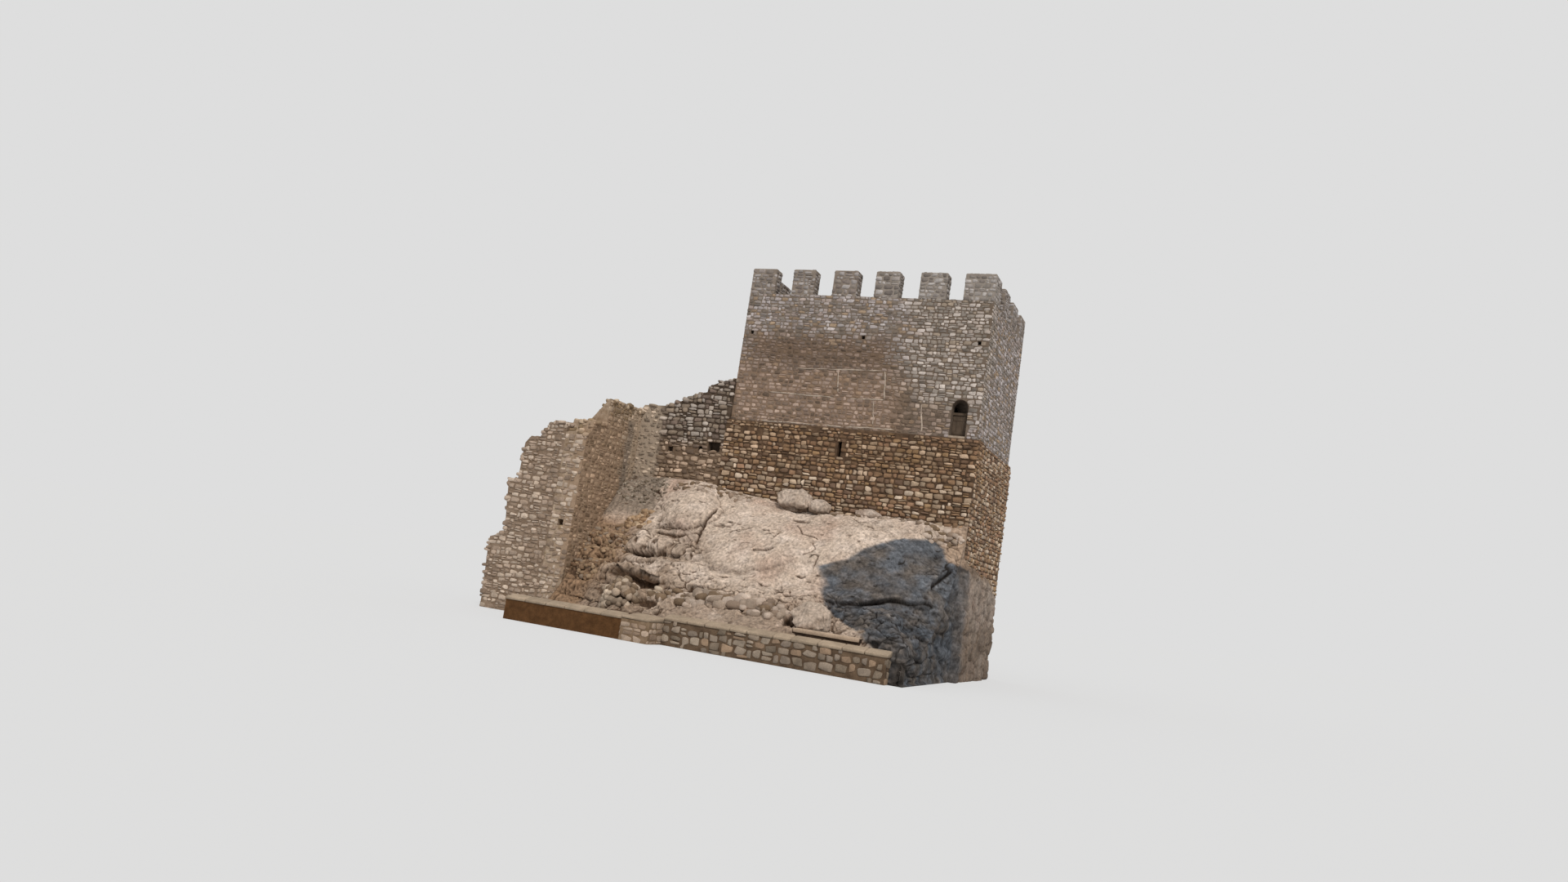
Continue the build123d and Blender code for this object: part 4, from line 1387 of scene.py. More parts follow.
@dataclass
class Crag:
    """Rock that carries the keep: the frame's rough shape, smoothed, then stepped, lumped and cracked."""

    columns: int = 400
    rows: int = 224
    end_rows: int = 60
    skirt_rows: int = 8
    smoothing: int = 12
    lowest: float = 0.05
    wall_fade: float = 0.05
    front_fade: float = 0.06
    end_fade: float = 0.02
    lump: float = 0.30
    block: float = 0.10
    block_bend: float = 0.2
    ridge: float = 0.13
    vein_width: float = 0.022
    vein_depth: float = 0.07
    fleck_depth: float = 0.06
    ledge_rise: float = 0.78
    ledge_dip: float = 0.05
    ledge_waver: float = 0.32
    ledge_depth: float = 0.72
    ledge_lip: Edge = Edge(0.5, 0.3)
    ledge_side: Edge = Edge(1.4, -2.2)
    ledge_top: Edge = Edge(4.9, -1.2)
    slab: Ball = Ball((2.7, -2.4, 4.7), (3.6, 3.2, 2.6))
    slab_edge: float = 1.7
    earth_top: Edge = Edge(1.72, -0.3)
    earth_left: Edge = Edge(-0.2, 1.0)
    earth_right: Edge = Edge(6.2, -1.0)
    foot_top: Edge = Edge(3.1, -0.9)
    broken_end: Edge = Edge(9.4, 0.6)
    near_passes: int = 3
    near_depth: float = 0.03
    wide_passes: int = 30
    wide_depth: float = 0.16
    end_back: float = 0.9
    shoulder_columns: int = 120
    shoulder_height: float = 6.3
    shoulder_lap: float = 0.45
    shoulder_start: float = 0.5
    shoulder_warm: float = 1.6
    shoulder_sunk: float = 0.25
    boulder_flats: int = 16
    boulder_cut: tuple[float, float] = (0.82, 1.2)
    boulder_lift: float = 4.0
    heap_count: int = 90
    heap_half: Triple = (0.18, 0.16, 0.15)
    heap_way: Triple = (0.0, -0.6, 0.8)
    heap_lift: float = 0.08
    heap_contrast: float = 0.25
    kerb_length: float = 1.9
    kerb_thick: float = 0.17
    kerb_lift: float = 0.03
    kerb_overhang: float = 0.06
    tint: RockTint = RockTint()
    bulges: tuple[Bulge, ...] = (
        Bulge((-1.9, -1.2, 5.9), (1.55, 1.45, 1.35), 0.38),
        Bulge((-3.75, -2.4, 4.05), (0.7, 0.8, 0.6), 0.22),
        Bulge((-2.3, -2.55, 4.0), (0.6, 0.7, 0.5), 0.2),
        Bulge((1.9, -2.2, 4.9), (2.9, 2.3, 2.0), 0.16),
        Bulge((-1.3, -3.2, 3.42), (0.5, 0.5, 0.24), -0.45),
        Bulge((-3.1, -2.85, 3.42), (0.65, 0.5, 0.18), -0.3),
        Bulge((-0.7, -6.0, 1.5), (0.5, 0.4, 0.3), -0.28),
        Bulge((3.5, -0.9, 6.0), (0.55, 0.6, 0.16), -0.12),
        TOE_HOLLOW,
        Bulge((0.75, -4.85, 2.3), (0.45, 0.4, 0.25), -0.3),
        Bulge((-1.85, -4.75, 2.15), (0.75, 0.5, 0.24), -0.35),
    )
    grooves: tuple[Groove, ...] = (
        Groove(
            (
                *((6.6, -4.3, 2.55), (7.84, -4.19, 2.7), (8.8, -3.2, 3.04), (9.4, -2.8, 2.95)),
                *((10.0, -2.3, 3.05), (10.05, -1.7, 3.85), (10.5, -0.75, 4.56)),
            ),
            *(0.06, 0.28, 0.24),
        ),
        Groove(((-3.75, -3.95, 2.45), (-2.4, -4.45, 2.4), (-1.2, -4.7, 2.35)), 0.17, 0.52, 0.24),
        Groove(((1.0, -2.05, 5.05), (1.35, -1.95, 5.12), (1.7, -1.85, 5.25)), 0.045, 0.10),
        Groove(((2.4, -2.98, 4.27), (2.8, -2.95, 4.33), (3.2, -2.85, 4.45)), 0.05, 0.14),
        Groove(((3.0, -2.3, 4.95), (3.1, -2.0, 5.25)), 0.045, 0.10),
        Groove(((3.6, -1.5, 5.65), (4.2, -2.0, 5.25), (4.9, -2.1, 5.15)), 0.035, 0.08),
        Groove(
            ((-0.5, -1.2, 5.85), (-0.78, -2.1, 4.91), (-0.64, -2.75, 4.12), (-0.1, -3.76, 3.28)), 0.07, 0.2
        ),
        Groove(((-2.9, -2.1, 4.6), (-1.9, -2.3, 4.45), (-0.75, -2.2, 4.8)), 0.08, 0.2),
    )
    nests: tuple[StoneNest, ...] = (
        StoneNest((-4.4, -1.4, 5.1), (0.8, 0.65, 0.6), 44, 0.15, OCHRE_STONES),
        StoneNest((0.3, -5.4, 1.85), (1.3, 0.6, 0.45), 50, 0.2, PALE_STONES),
        StoneNest((2.6, -5.15, 2.05), (1.6, 0.45, 0.4), 30, 0.29, PALE_STONES),
        StoneNest((4.3, -5.4, 1.9), (1.2, 0.5, 0.4), 22, 0.23, PALE_STONES),
        StoneNest((-2.3, -5.0, 2.0), (1.5, 0.6, 0.5), 40, 0.15, HEAP_STONES),
        StoneNest((-5.1, -0.2, 6.6), (1.5, 1.0, 0.9), 150, 0.07, SCREE_STONES),
        StoneNest((-5.3, -2.9, 3.4), (1.3, 1.7, 1.8), 220, 0.11, BROWN_STONES),
        StoneNest((-1.2, -0.2, 6.9), (2.4, 0.8, 0.4), 46, 0.13, PALE_STONES),
        StoneNest((6.3, 0.25, 6.7), (3.4, 0.4, 0.5), 46, 0.13, PALE_STONES),
        StoneNest((9.9, -0.1, 6.2), (0.9, 0.8, 0.5), 26, 0.16, PALE_STONES),
    )

    EDGE_GAP = 1e-3
    GROUND_GAP = 0.01
    SLIVER = 1e-4
    BEDS = Noise(1.6, 3, 9)
    BEND = Noise(0.7, 3, 19)
    BLOCKS = Blocks(0.62, 29, 0.07, (0.75, 0.8, 1.5))
    JOINTED = Noise(1.2, 2, 31)
    VEINS = Noise(1.9, 4, 23, (1.0, 0.8, 1.6))
    VEINED = Noise(0.9, 2, 27)
    FLECKS = Noise(0.5, 3, 37, (0.8, 0.8, 2.4))
    LUMPS = Noise(2.0, 4, 5, (0.8, 1.0, 1.0))
    RIDGES = Noise(1.0, 4, 53, (1.0, 1.0, 1.5), crested=True)
    GRIT = Noise(0.27, 2, 41, crested=True)
    END_BLOCKS = Blocks(0.7, 47, 0.1, (1.0, 0.4, 1.5))
    END_RIDGES = Noise(1.1, 4, 43, (1.0, 0.5, 1.3), crested=True)
    SHOULDER_TOP = Noise(1.4, 4, 161)
    SHOULDER_BLOCKS = Blocks(0.75, 167, 0.09, (1.0, 0.5, 1.4))
    SHOULDER_RIDGES = Noise(1.3, 4, 163, (1.0, 0.6, 1.2), crested=True)
    SHOULDER_DIRT = Noise(0.5, 4, 171)
    SKIRT_RIDGES = Noise(0.7, 4, 141, (1.0, 1.0, 1.4), crested=True)
    BOULDER_RIDGES = Noise(0.6, 4, 91, crested=True)
    BOULDER_PITS = Noise(0.25, 3, 93)
    BOULDER = LooseStones(boxiness=0.7, around=96, bands=48, roughness=0.3)
    BOULDER_WEAR = 3
    HEAP_WEAR = 4

    @staticmethod
    def height_on(triangles: Array, x: Array, y: Array) -> Array:
        """Height of a surface at places in plan, from the triangle that each place falls in.

        Args:
            triangles: the surface's triangles.
            x: places along.
            y: places across.

        Returns:
            Heights, by barycentric shares of the triangle's corners.
        """
        height = np.zeros(x.shape)
        for first, second, third in triangles:
            edge_a, edge_b = second[:2] - first[:2], third[:2] - first[:2]
            area = edge_a[0] * edge_b[1] - edge_a[1] * edge_b[0]
            dx, dy = x - first[0], y - first[1]
            share_a = (dx * edge_b[1] - dy * edge_b[0]) / area
            share_b = (dy * edge_a[0] - dx * edge_a[1]) / area
            within = np.minimum(np.minimum(share_a, share_b), 1.0 - share_a - share_b) > -Crag.SLIVER
            level = first[2] + share_a * (second[2] - first[2]) + share_b * (third[2] - first[2])
            height = np.where(within, np.maximum(height, level), height)
        return height

    @staticmethod
    def softened(height: Array, passes: int) -> Array:
        """Heights averaged with their neighbours a number of times, ends held."""
        for _ in range(passes):
            padded = np.pad(height, 1, mode="edge")
            beside = padded[:-2, 1:-1] + padded[2:, 1:-1] + padded[1:-1, :-2] + padded[1:-1, 2:]
            height = (beside + 2.0 * height) / 6.0
        return height

    def base(self) -> Array:
        """Frame's rock as a grid of points: along the rock, and from the wall foot forward.

        Points are spread evenly down each slope, by the length walked along it.

        Returns:
            Points by columns and rows.
        """
        triangles = node_triangles("rock_crag")
        upward = area_normals(triangles)[:, 2] > self.SLIVER
        top = triangles[upward & (triangles[:, :, 2].min(axis=1) > self.GROUND_GAP)]
        low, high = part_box("rock_crag")
        feet = triangles.reshape(-1, 3)
        feet = feet[(feet[:, 2] < self.GROUND_GAP) & (feet[:, 1] < high.y - self.GROUND_GAP)]
        feet = feet[np.argsort(feet[:, 0])]
        across = np.linspace(0.0, 1.0, self.columns)[:, None]
        forward = np.linspace(0.0, 1.0, self.rows)[None, :]
        x = low.x + across * (high.x - low.x) + 0.0 * forward
        front = np.interp(x, feet[:, 0], feet[:, 1])
        y = high.y + forward * (front - high.y)
        inner_x = np.clip(x, low.x + self.EDGE_GAP, high.x - self.EDGE_GAP)
        inner_y = np.clip(y, front + self.EDGE_GAP, high.y - self.EDGE_GAP)
        z = self.softened(self.height_on(top, inner_x, inner_y), self.smoothing)
        points = np.stack([x, y, z], axis=-1)
        steps = lengths(np.diff(points, axis=1))
        length = np.concatenate([np.zeros((self.columns, 1)), np.cumsum(steps, axis=1)], axis=1)
        apart = np.arange(self.columns)[:, None] * (length.max() + 1.0)
        wanted, known = length[:, -1:] * forward + apart, (length + apart).ravel()
        even = [np.interp(wanted, known, points[..., axis].ravel()) for axis in (1, 2)]
        return np.stack([x, *even], axis=-1)

    @staticmethod
    def outward(points: Array) -> Array:
        """Outward direction at each grid point, square to the steps along and across."""
        across, forward = np.gradient(points, axis=0), np.gradient(points, axis=1)
        out = np.cross(forward, across)
        return out / lengths(out)[..., None]

    def surface(self) -> tuple[Array, Array, Array, Array]:
        """Rock face as a grid of points.

        The frame's rock is cut into flat shelves on the left, then each point moves out along its slope by
        lumps, ridges, blocks, masses and cracks, which fade at the walls and the front edge. Hollows are
        where a point lies below the mean of its neighbours and are painted dark as shade; raised places,
        where it lies above, are painted lighter, for wear and as painted highlight.

        Returns:
            Points by columns and rows, the dark share of each for joints, cracks and painted shade, its
            worn_and_lit share for wear and painted highlight, and a value for its block.
        """
        points = self.base()
        x, z = points[..., 0], points[..., 2]
        across = np.linspace(0.0, 1.0, self.columns)[:, None]
        forward = np.linspace(0.0, 1.0, self.rows)[None, :]
        fade = ease(forward / self.wall_fade) * ease((1.0 - forward) / self.front_fade)
        fade = fade * ease(across / self.end_fade) * ease((1.0 - across) / self.end_fade)
        bedding = z + self.ledge_dip * x + self.ledge_waver * self.BEDS.at(points)
        step = bedding / self.ledge_rise
        stepped = (np.floor(step) + self.ledge_lip.share(step - np.floor(step))) * self.ledge_rise
        shelves = self.ledge_side.share(x) * self.ledge_top.share(z) * fade
        points[..., 2] += self.ledge_depth * shelves * (stepped - bedding)
        out = self.outward(points)
        slab = ease(self.slab_edge - self.slab_edge * self.slab.distance(points))
        earth = self.earth_top.share(z) * self.earth_left.share(x) * self.earth_right.share(x)
        foot = self.foot_top.share(z)
        low = foot * (1.0 - earth)
        broken = 0.75 * foot + 0.6 * self.broken_end.share(x)
        rough = np.clip(0.25 + shelves + broken - slab - 0.9 * earth, 0.1, 1.0)
        joints, own = self.BLOCKS.split(points, self.block_bend * self.BEND.at(points)[..., None])
        joints = joints * rough * ease(0.6 + 1.4 * self.JOINTED.at(points))
        veins = np.exp(-((self.VEINS.at(points) / self.vein_width) ** 2))
        veins = veins * ease(2.6 * self.VEINED.at(points) - 0.3)
        flecks = ease(4.0 * self.FLECKS.at(points) - 1.5)
        lumps = self.LUMPS.at(points) * (1.0 - 0.5 * slab)
        push = self.lump * lumps + self.block * ((own - 0.4) * rough - joints)
        push = push - self.vein_depth * veins - self.fleck_depth * flecks
        push += (0.03 + self.ridge * rough) * self.RIDGES.at(points)
        push += (0.028 + 0.04 * rough + 0.04 * low) * self.GRIT.at(points)
        dark = np.clip(0.75 * joints + 0.8 * veins + 0.6 * flecks, 0.0, 1.0)
        # Besides their relief, masses get painted shade along their underside, hollows all over, and grooves
        # along their crack.
        for bulge in self.bulges:
            push += bulge.push(points)
            dark = np.maximum(dark, bulge.rim(points))
        for groove in self.grooves:
            raised, crack = groove.cut(points)
            push += raised
            dark = np.maximum(dark, 0.95 * crack)
        relief = push * fade
        near = self.softened(relief, self.near_passes) - relief
        wide = self.softened(relief, self.wide_passes) - relief
        # Painted shade in hollows below the mean of the neighbours, near and wide, stronger towards the foot.
        dark += 0.55 * ease(near / self.near_depth) + 0.5 * ease(wide / self.wide_depth - 0.1)
        dark = np.clip((1.0 + 0.5 * low) * dark, 0.0, 1.0)
        # Raised places painted lighter, for wear and painted highlight.
        worn_and_lit = ease(-near / self.near_depth) * 0.6 + ease(-wide / self.wide_depth) * 0.4
        points = points + out * relief[..., None]
        points[..., 2] = np.maximum(points[..., 2], self.lowest)
        return points, dark, worn_and_lit, own

    def end_face(self, edge: Array) -> Patch:
        """Broken right end of the rock, from its top edge down to the ground.

        Each point of the top edge is carried straight down, and the face between is pushed in by blocks.

        Args:
            edge: points of the rock's right edge, from the wall forward.

        Returns:
            The end as one patch.
        """
        down = np.linspace(1.0, 0.0, self.end_rows)[None, :]
        points = edge[:, None, :] * np.ones((1, self.end_rows, 1))
        points[..., 2] = edge[:, None, 2] * down
        joints, own = self.END_BLOCKS.split(points)
        depth = 0.12 - 0.16 * self.END_RIDGES.at(points) + 0.14 * own + 0.1 * joints
        back = ease((edge[0, 1] - edge[:, None, 1]) / self.end_back)
        points[..., 0] -= np.maximum(depth, 0.0) * ease((1.0 - down) * 9.0) * ease(down * 12.0) * back
        # Joints a little dark, and the painted cast shadow of the rock's right end runs down this face.
        return sheet(points, self.tint.at(points, 0.45 * joints, 0.0 * joints, own))

    def shoulder(self) -> Patch:
        """Rock that the keep's right side stands on.

        A grid over the foot of the wall stands out of it by lumps and beds, starts inside the rock's own end,
        and sinks into the wall along a ragged top line and at the back.

        Returns:
            The rock as one patch.
        """
        wall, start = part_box("keep_base_right")[1].x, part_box("rock_crag")[1].y - self.shoulder_lap
        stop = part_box("keep_base_back")[1].y
        back = np.linspace(0.0, 1.0, self.shoulder_columns)[:, None]
        rise = np.linspace(0.0, 1.0, self.end_rows)[None, :]
        y = start + back * (stop - start) + 0.0 * rise
        line = np.stack([0.0 * y, y, 0.0 * y], axis=-1)
        top = self.shoulder_height * (1.0 - 0.3 * back) + 0.5 * self.SHOULDER_TOP.at(line)
        points = np.stack([wall + 0.0 * y, y, rise * top], axis=-1)
        joints, own = self.SHOULDER_BLOCKS.split(points)
        lump = 0.18 + 0.1 * self.SHOULDER_RIDGES.at(points) + 0.1 * own - 0.08 * joints
        fade = ease((1.0 - rise) * 5.0) * ease((y - start) / self.shoulder_start) * ease((1.0 - back) * 9.0)
        points[..., 0] += np.maximum(lump, 0.1) * fade - self.shoulder_sunk * (1.0 - fade)
        warm = ease((y - start) / self.shoulder_warm)
        dark = 0.35 * joints + 0.4 * ease(-1.5 * self.SHOULDER_DIRT.at(points))
        # Painted cast shadow of the rock's right end at the front, fading out towards the back.
        colours = self.tint.at(points, dark, 0.0 * joints, own, 1.0 - warm)
        return sheet(points, colours * (1.0 - 0.45 * warm)[..., None], flip=True)

    def skirt(self, edge: Array) -> tuple[Array, Array]:
        """Drop from the rock's front edge to the ground, hollowed by ridges and painted dark as shade where
        hollowed.

        Args:
            edge: points of the front edge, one to a column.

        Returns:
            Points by columns and rows, and their colours.
        """
        down = np.linspace(1.0, 0.0, self.skirt_rows + 1)[None, 1:]
        points = edge * np.ones((1, self.skirt_rows, 1))
        points[..., 2] *= down
        hollow = np.maximum(0.1 + 0.14 * self.SKIRT_RIDGES.at(points), 0.0)
        hollow *= ease((1.0 - down) * 5.0) * ease(down * 6.0)
        points[..., 1] += hollow
        # Painted shade where the drop is hollowed in; the painted cast shadow of the right end runs down it
        # too.
        dark = np.clip(2.5 * hollow, 0.0, 0.7)
        return points, self.tint.at(points, dark, 0.0 * hollow, 0.5 + 0.0 * hollow)

    def build(self) -> None:
        """Make the rock as one closed surface, then its boulders, nests of stones, heap and kerb."""
        finish = StoneFinish("rock_face", 0.16, 0.5, 8.0, grain=0.04, grain_scale=8.0).material()
        points, dark, worn_and_lit, own = self.surface()
        colours = self.tint.at(points, dark, worn_and_lit, own)
        back = points[:, :1] * np.array([1.0, 1.0, 0.0])
        skirt, skirt_colours = self.skirt(points[:, -1:])
        loop = np.concatenate([back, points, skirt], axis=1)
        tints = np.concatenate([colours[:, :1], colours, skirt_colours], axis=1)
        count, ring = loop.shape[:2]
        faces = [grid_quads(count, ring, closed=True), np.arange(ring)[None, ::-1]]
        rock = Patch(loop.reshape(-1, 3), faces, tints.reshape(-1, 3))
        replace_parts(rock.place("rock_face", finish, "rock"), "rock_crag")
        Patch.joined([self.end_face(points[-1]), self.shoulder()]).place("rock_shoulder", finish, "rock")
        out = self.outward(points).reshape(-1, 3)
        nests = [nest.patch(points.reshape(-1, 3), out, Seed.NESTS + k) for k, nest in enumerate(self.nests)]
        stone = StoneFinish("loose_stone", mottle=0.25).material()
        Patch.joined(nests).place("bedded_stones", stone, "rock")
        self.boulders(finish)
        self.heap(stone)

    def boulders(self, finish: Material) -> None:
        """Break the boulders at the wall foot and at the toe of the rock.

        Each is a ball that fills its box, cut back by flats of random slope, then roughened. The hollow
        beside the toe bites into its boulder too. Pits, the lower part of each boulder and the hollow are
        painted dark as shade.

        Args:
            finish: the rock's material.
        """
        rng = np.random.default_rng(Seed.BOULDERS)
        for name in ("outcrop_boulders", "toe_boulder"):
            solids = split_solids(node_triangles(name))
            low = np.array([solid.reshape(-1, 3).min(axis=0) for solid in solids])
            high = np.array([solid.reshape(-1, 3).max(axis=0) for solid in solids])
            middles, halves = (low + high) / 2.0, (high - low) / 2.0
            patch = self.BOULDER.patch(middles, halves, 0.0 * low, 0.0 * low, self.BOULDER_WEAR)
            each = len(patch.points) // len(low)
            centre, half = np.repeat(middles, each, axis=0), np.repeat(halves, each, axis=0)
            away = (patch.points - centre) / half
            reach = lengths(away)
            ahead = away / reach[:, None]
            slopes = rng.normal(size=(len(low), self.boulder_flats, 3))
            slopes /= lengths(slopes)[..., None]
            facing = np.einsum("npk,nfk->npf", ahead.reshape(len(low), each, 3), slopes)
            flats = rng.uniform(*self.boulder_cut, (len(low), 1, self.boulder_flats))
            cut = (flats / np.maximum(facing, 0.05)).min(axis=-1).ravel()
            crags = 0.2 * self.BOULDER_RIDGES.at(patch.points)
            crags += 0.14 * self.BOULDER_PITS.at(patch.points)
            bite = TOE_HOLLOW.push(patch.points)
            patch.points = centre + half * ahead * (np.minimum(reach, cut) + crags + bite)[:, None]
            level = (patch.points[:, 2] - centre[:, 2]) / half[:, 2]
            # Painted shade in the pits, over the lower part of each boulder and in the toe hollow.
            boulder_shade = 0.62 * ease(-crags * 8.0) + 0.7 * ease(-0.2 - 1.4 * level)
            boulder_shade = np.clip(np.maximum(boulder_shade, TOE_HOLLOW.rim(patch.points)), 0.0, 0.95)[:, None]
            lifted = patch.points[:, None] + np.array([0.0, 0.0, self.boulder_lift])
            patch.colours = 0.82 * self.tint.at(lifted, boulder_shade, 0.0 * boulder_shade, 0.5 + 0.0 * boulder_shade, 0.0)[:, 0]
            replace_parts(patch.place(name.replace("_boulder", "_rock"), finish, "rock"), name)

    def heap(self, stone: Material) -> None:
        """Pile stones over the rubble heap, its core painted dark as shade between them, and lay a weathered
        slab on the kerb, with a gap under it painted dark as shade.

        Args:
            stone: finish of the loose stones.
        """
        rng = np.random.default_rng(Seed.HEAP)
        mound = node_triangles("rubble_heap")
        # Painted shade: the heap's core is nearly black where it shows between the stones.
        dress(MortarFinish("heap_shade_core", "#3b2e23", "#231a13").material(), "rubble_heap")
        bare = area_normals(mound) @ np.array(self.heap_way) > 0.0
        points, out = scatter(mound[bare], self.heap_count, rng)
        sizes = np.array(self.heap_half) * rng.uniform(0.7, 1.25, (len(points), 3))
        points[:, 2] = np.maximum(points[:, 2], sizes[:, 2])
        tints = stone_tints(PILE_STONES, len(points), rng, self.heap_contrast)
        pile = LooseStones(boxiness=0.8, roughness=0.2)
        angles = rng.normal(0, 0.6, (len(points), 3))
        patch = pile.patch(points + out * self.heap_lift, sizes, angles, tints, self.HEAP_WEAR)
        patch.place("heap_stones", stone, "rock")
        slab_finish = StoneFinish("kerb_slab", mottle=0.2, grain=0.01).material()
        # Painted shade: the kerb's bed is dark and shows as a dark gap under the slabs set forward on it.
        dress(MortarFinish("kerb_shade_bed", "#46362a", "#2b2019").material(), "kerb_stone")
        low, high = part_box("kerb_stone")
        kerb = worn_slabs("kerb_stone", self.kerb_length, "#b6a08b", Seed.KERB)
        kerb.points[:, 1] -= self.kerb_overhang
        below = (high.z - kerb.points[:, 2]) * self.kerb_thick / (high.z - low.z)
        kerb.points[:, 2] = high.z + self.kerb_lift - below
        kerb.place("kerb_slabs", slab_finish, "rock")


def worn_slabs(name: str, length: float, colour: str, seed: int, rise: float = 0.0) -> Patch:
    """Row of weathered slabs that fill a node's box, painted darker towards the foot as shade.

    Args:
        name: the node.
        length: about how long each slab is.
        colour: their mean colour.
        seed: number of the wear.
        rise: how much higher the top is at the back than at the front.

    Returns:
        The slabs as one patch.
    """
    rng = np.random.default_rng(seed)
    low, high = node_box(name)
    count = max(1, round((high[0] - low[0]) / length))
    cuts = np.linspace(low[0], high[0], count + 1)
    cuts[1:-1] += 0.15 * length * rng.uniform(-1.0, 1.0, count - 1)
    centres, sizes = (np.tile(part, (count, 1)) for part in ((low + high) / 2.0, (high - low) / 2.0))
    centres[:, 0] = (cuts[1:] + cuts[:-1]) / 2.0
    sizes[:, 0] = (cuts[1:] - cuts[:-1]) / 2.0 - SLAB_GAP
    tints = paint(colour) * rng.uniform(0.88, 1.08, (count, 1))
    angles = rng.normal(0, 0.005, (count, 3))
    shape = LooseStones(boxiness=0.14, around=28, bands=8, roughness=0.025)
    patch = shape.patch(centres, sizes, angles, tints, seed)
    share = np.clip((patch.points - low) / (high - low), 0.0, 1.0)
    patch.points[:, 2] += rise * share[:, 1] * share[:, 2]
    # Painted shade: each slab darker towards its foot.
    patch.colours = patch.colours * (0.6 + 0.4 * share[:, 2:])
    return patch


@dataclass
class LowWall:
    """Low wall at the foot of the rock, with its pier, copings and the stretch left of the pier."""

    stones: Masonry = Masonry(
        course=0.33, length=0.40, joint=0.08, proud=0.035,
        palette=("#817365", "#8b7d6f", "#746759", "#938576", "#7b6e62", "#8a7460"),
        wobble=0.13, roughness=0.10, split=0.12,
    )
    pier_stones: Masonry = Masonry(
        course=0.26, length=0.38, joint=0.05, proud=0.018,
        palette=("#968372", "#a49180", "#897564"),
    )
    slab_length: float = 0.95
    slab_rise: float = 0.14

    SEEDS_PER_WALL = 4

    def build(self) -> None:
        """Face the walls and the pier, and lay their coping slabs."""
        stone = StoneFinish("low_wall_stone", mottle=0.3).material()
        dress(MortarFinish("low_wall_mortar", "#6d5a48", "#493a2d").material(), "low_wall")
        dress(MortarFinish("pier_mortar", "#8a7560", "#6b5742").material(), "wall_pier")
        # Painted shade: the face under the left coping is dark brown as it looks in shade.
        shaded_render = MortarFinish("earth_render_shade", "#604227", "#462e18", grain=0.035, grain_scale=5.0)
        dress(shaded_render.material(), "left_low_wall")
        walls = {
            "low_wall": (self.stones, (Side.FRONT, Side.RIGHT)),
            "wall_pier": (self.pier_stones, (Side.FRONT, Side.RIGHT, Side.LEFT)),
        }
        patches = []
        for number, (name, (masonry, sides)) in enumerate(walls.items()):
            for turn, side in enumerate(sides):
                seed = Seed.LOW_WALL + number * self.SEEDS_PER_WALL + turn
                patches.append(lay_stones(masonry, node_triangles(name), side, Detail.NEAR, seed))
        Patch.joined(patches).place("low_wall_facing", stone, "garden_stone")
        slab_finish = StoneFinish("coping_slab", mottle=0.22, grain=0.008).material()
        for number, name in enumerate(("low_wall_coping", "pier_cap", "left_coping")):
            slabs = worn_slabs(name, self.slab_length, "#a3917d", Seed.COPING + number, self.slab_rise)
            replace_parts(slabs.place(f"{name}_slabs", slab_finish, "coping_stone"), name)


@dataclass
class Doorway:
    """Fixed door high in the keep: boards, ledges, sill and transom."""

    boards: int = 5
    board_proud: float = 0.012
    board_gap: float = 0.006
    board_end: float = 0.005
    rails: int = 2
    rail_foot: float = 0.2
    rail_step: float = 0.62
    rail_end: float = 0.03
    rail_proud: float = 0.016
    rail_half: float = 0.055
    tint: str = "#54473b"

    PLANK = LooseStones(boxiness=0.12, around=16, bands=6, roughness=0.01)
    PLANK_WEAR = 8

    def build(self) -> None:
        """Dress the timber and the sill, and lay boards and ledges on the leaf."""
        timber = TimberFinish("door_boards", "#6b5c4e", "#45392f", (1.0, 1.0, 0.12)).material()
        dress(timber, "door_leaf", "door_transom")
        dress(TimberFinish("floor_boards", "#6b5a48", "#4a3b2e", (0.12, 1.0, 1.0)).material(), "room_floor")
        dress(MortarFinish("sill_face", "#b3a392", "#8c7b69", grain=0.008).material(), "door_sill_stone")
        low, high = node_box("door_leaf")
        centre, half = (low + high) / 2.0, (high - low) / 2.0
        width = (high[0] - low[0]) / self.boards
        boards = [[low[0] + width * (k + 0.5), low[1], centre[2]] for k in range(self.boards)]
        board = [width / 2.0 - self.board_gap, self.board_proud, half[2] - self.board_end]
        heights = [low[2] + self.rail_foot + self.rail_step * k for k in range(self.rails)]
        rails = [[centre[0], low[1] - self.board_proud, height] for height in heights]
        rail = [half[0] - self.rail_end, self.rail_proud, self.rail_half]
        places, halves = np.array(boards + rails), np.array([board] * self.boards + [rail] * self.rails)
        tints = np.full(places.shape, paint(self.tint))
        planks = self.PLANK.patch(places, halves, 0.0 * places, tints, self.PLANK_WEAR)
        planks.place("door_planks", timber, "timber")


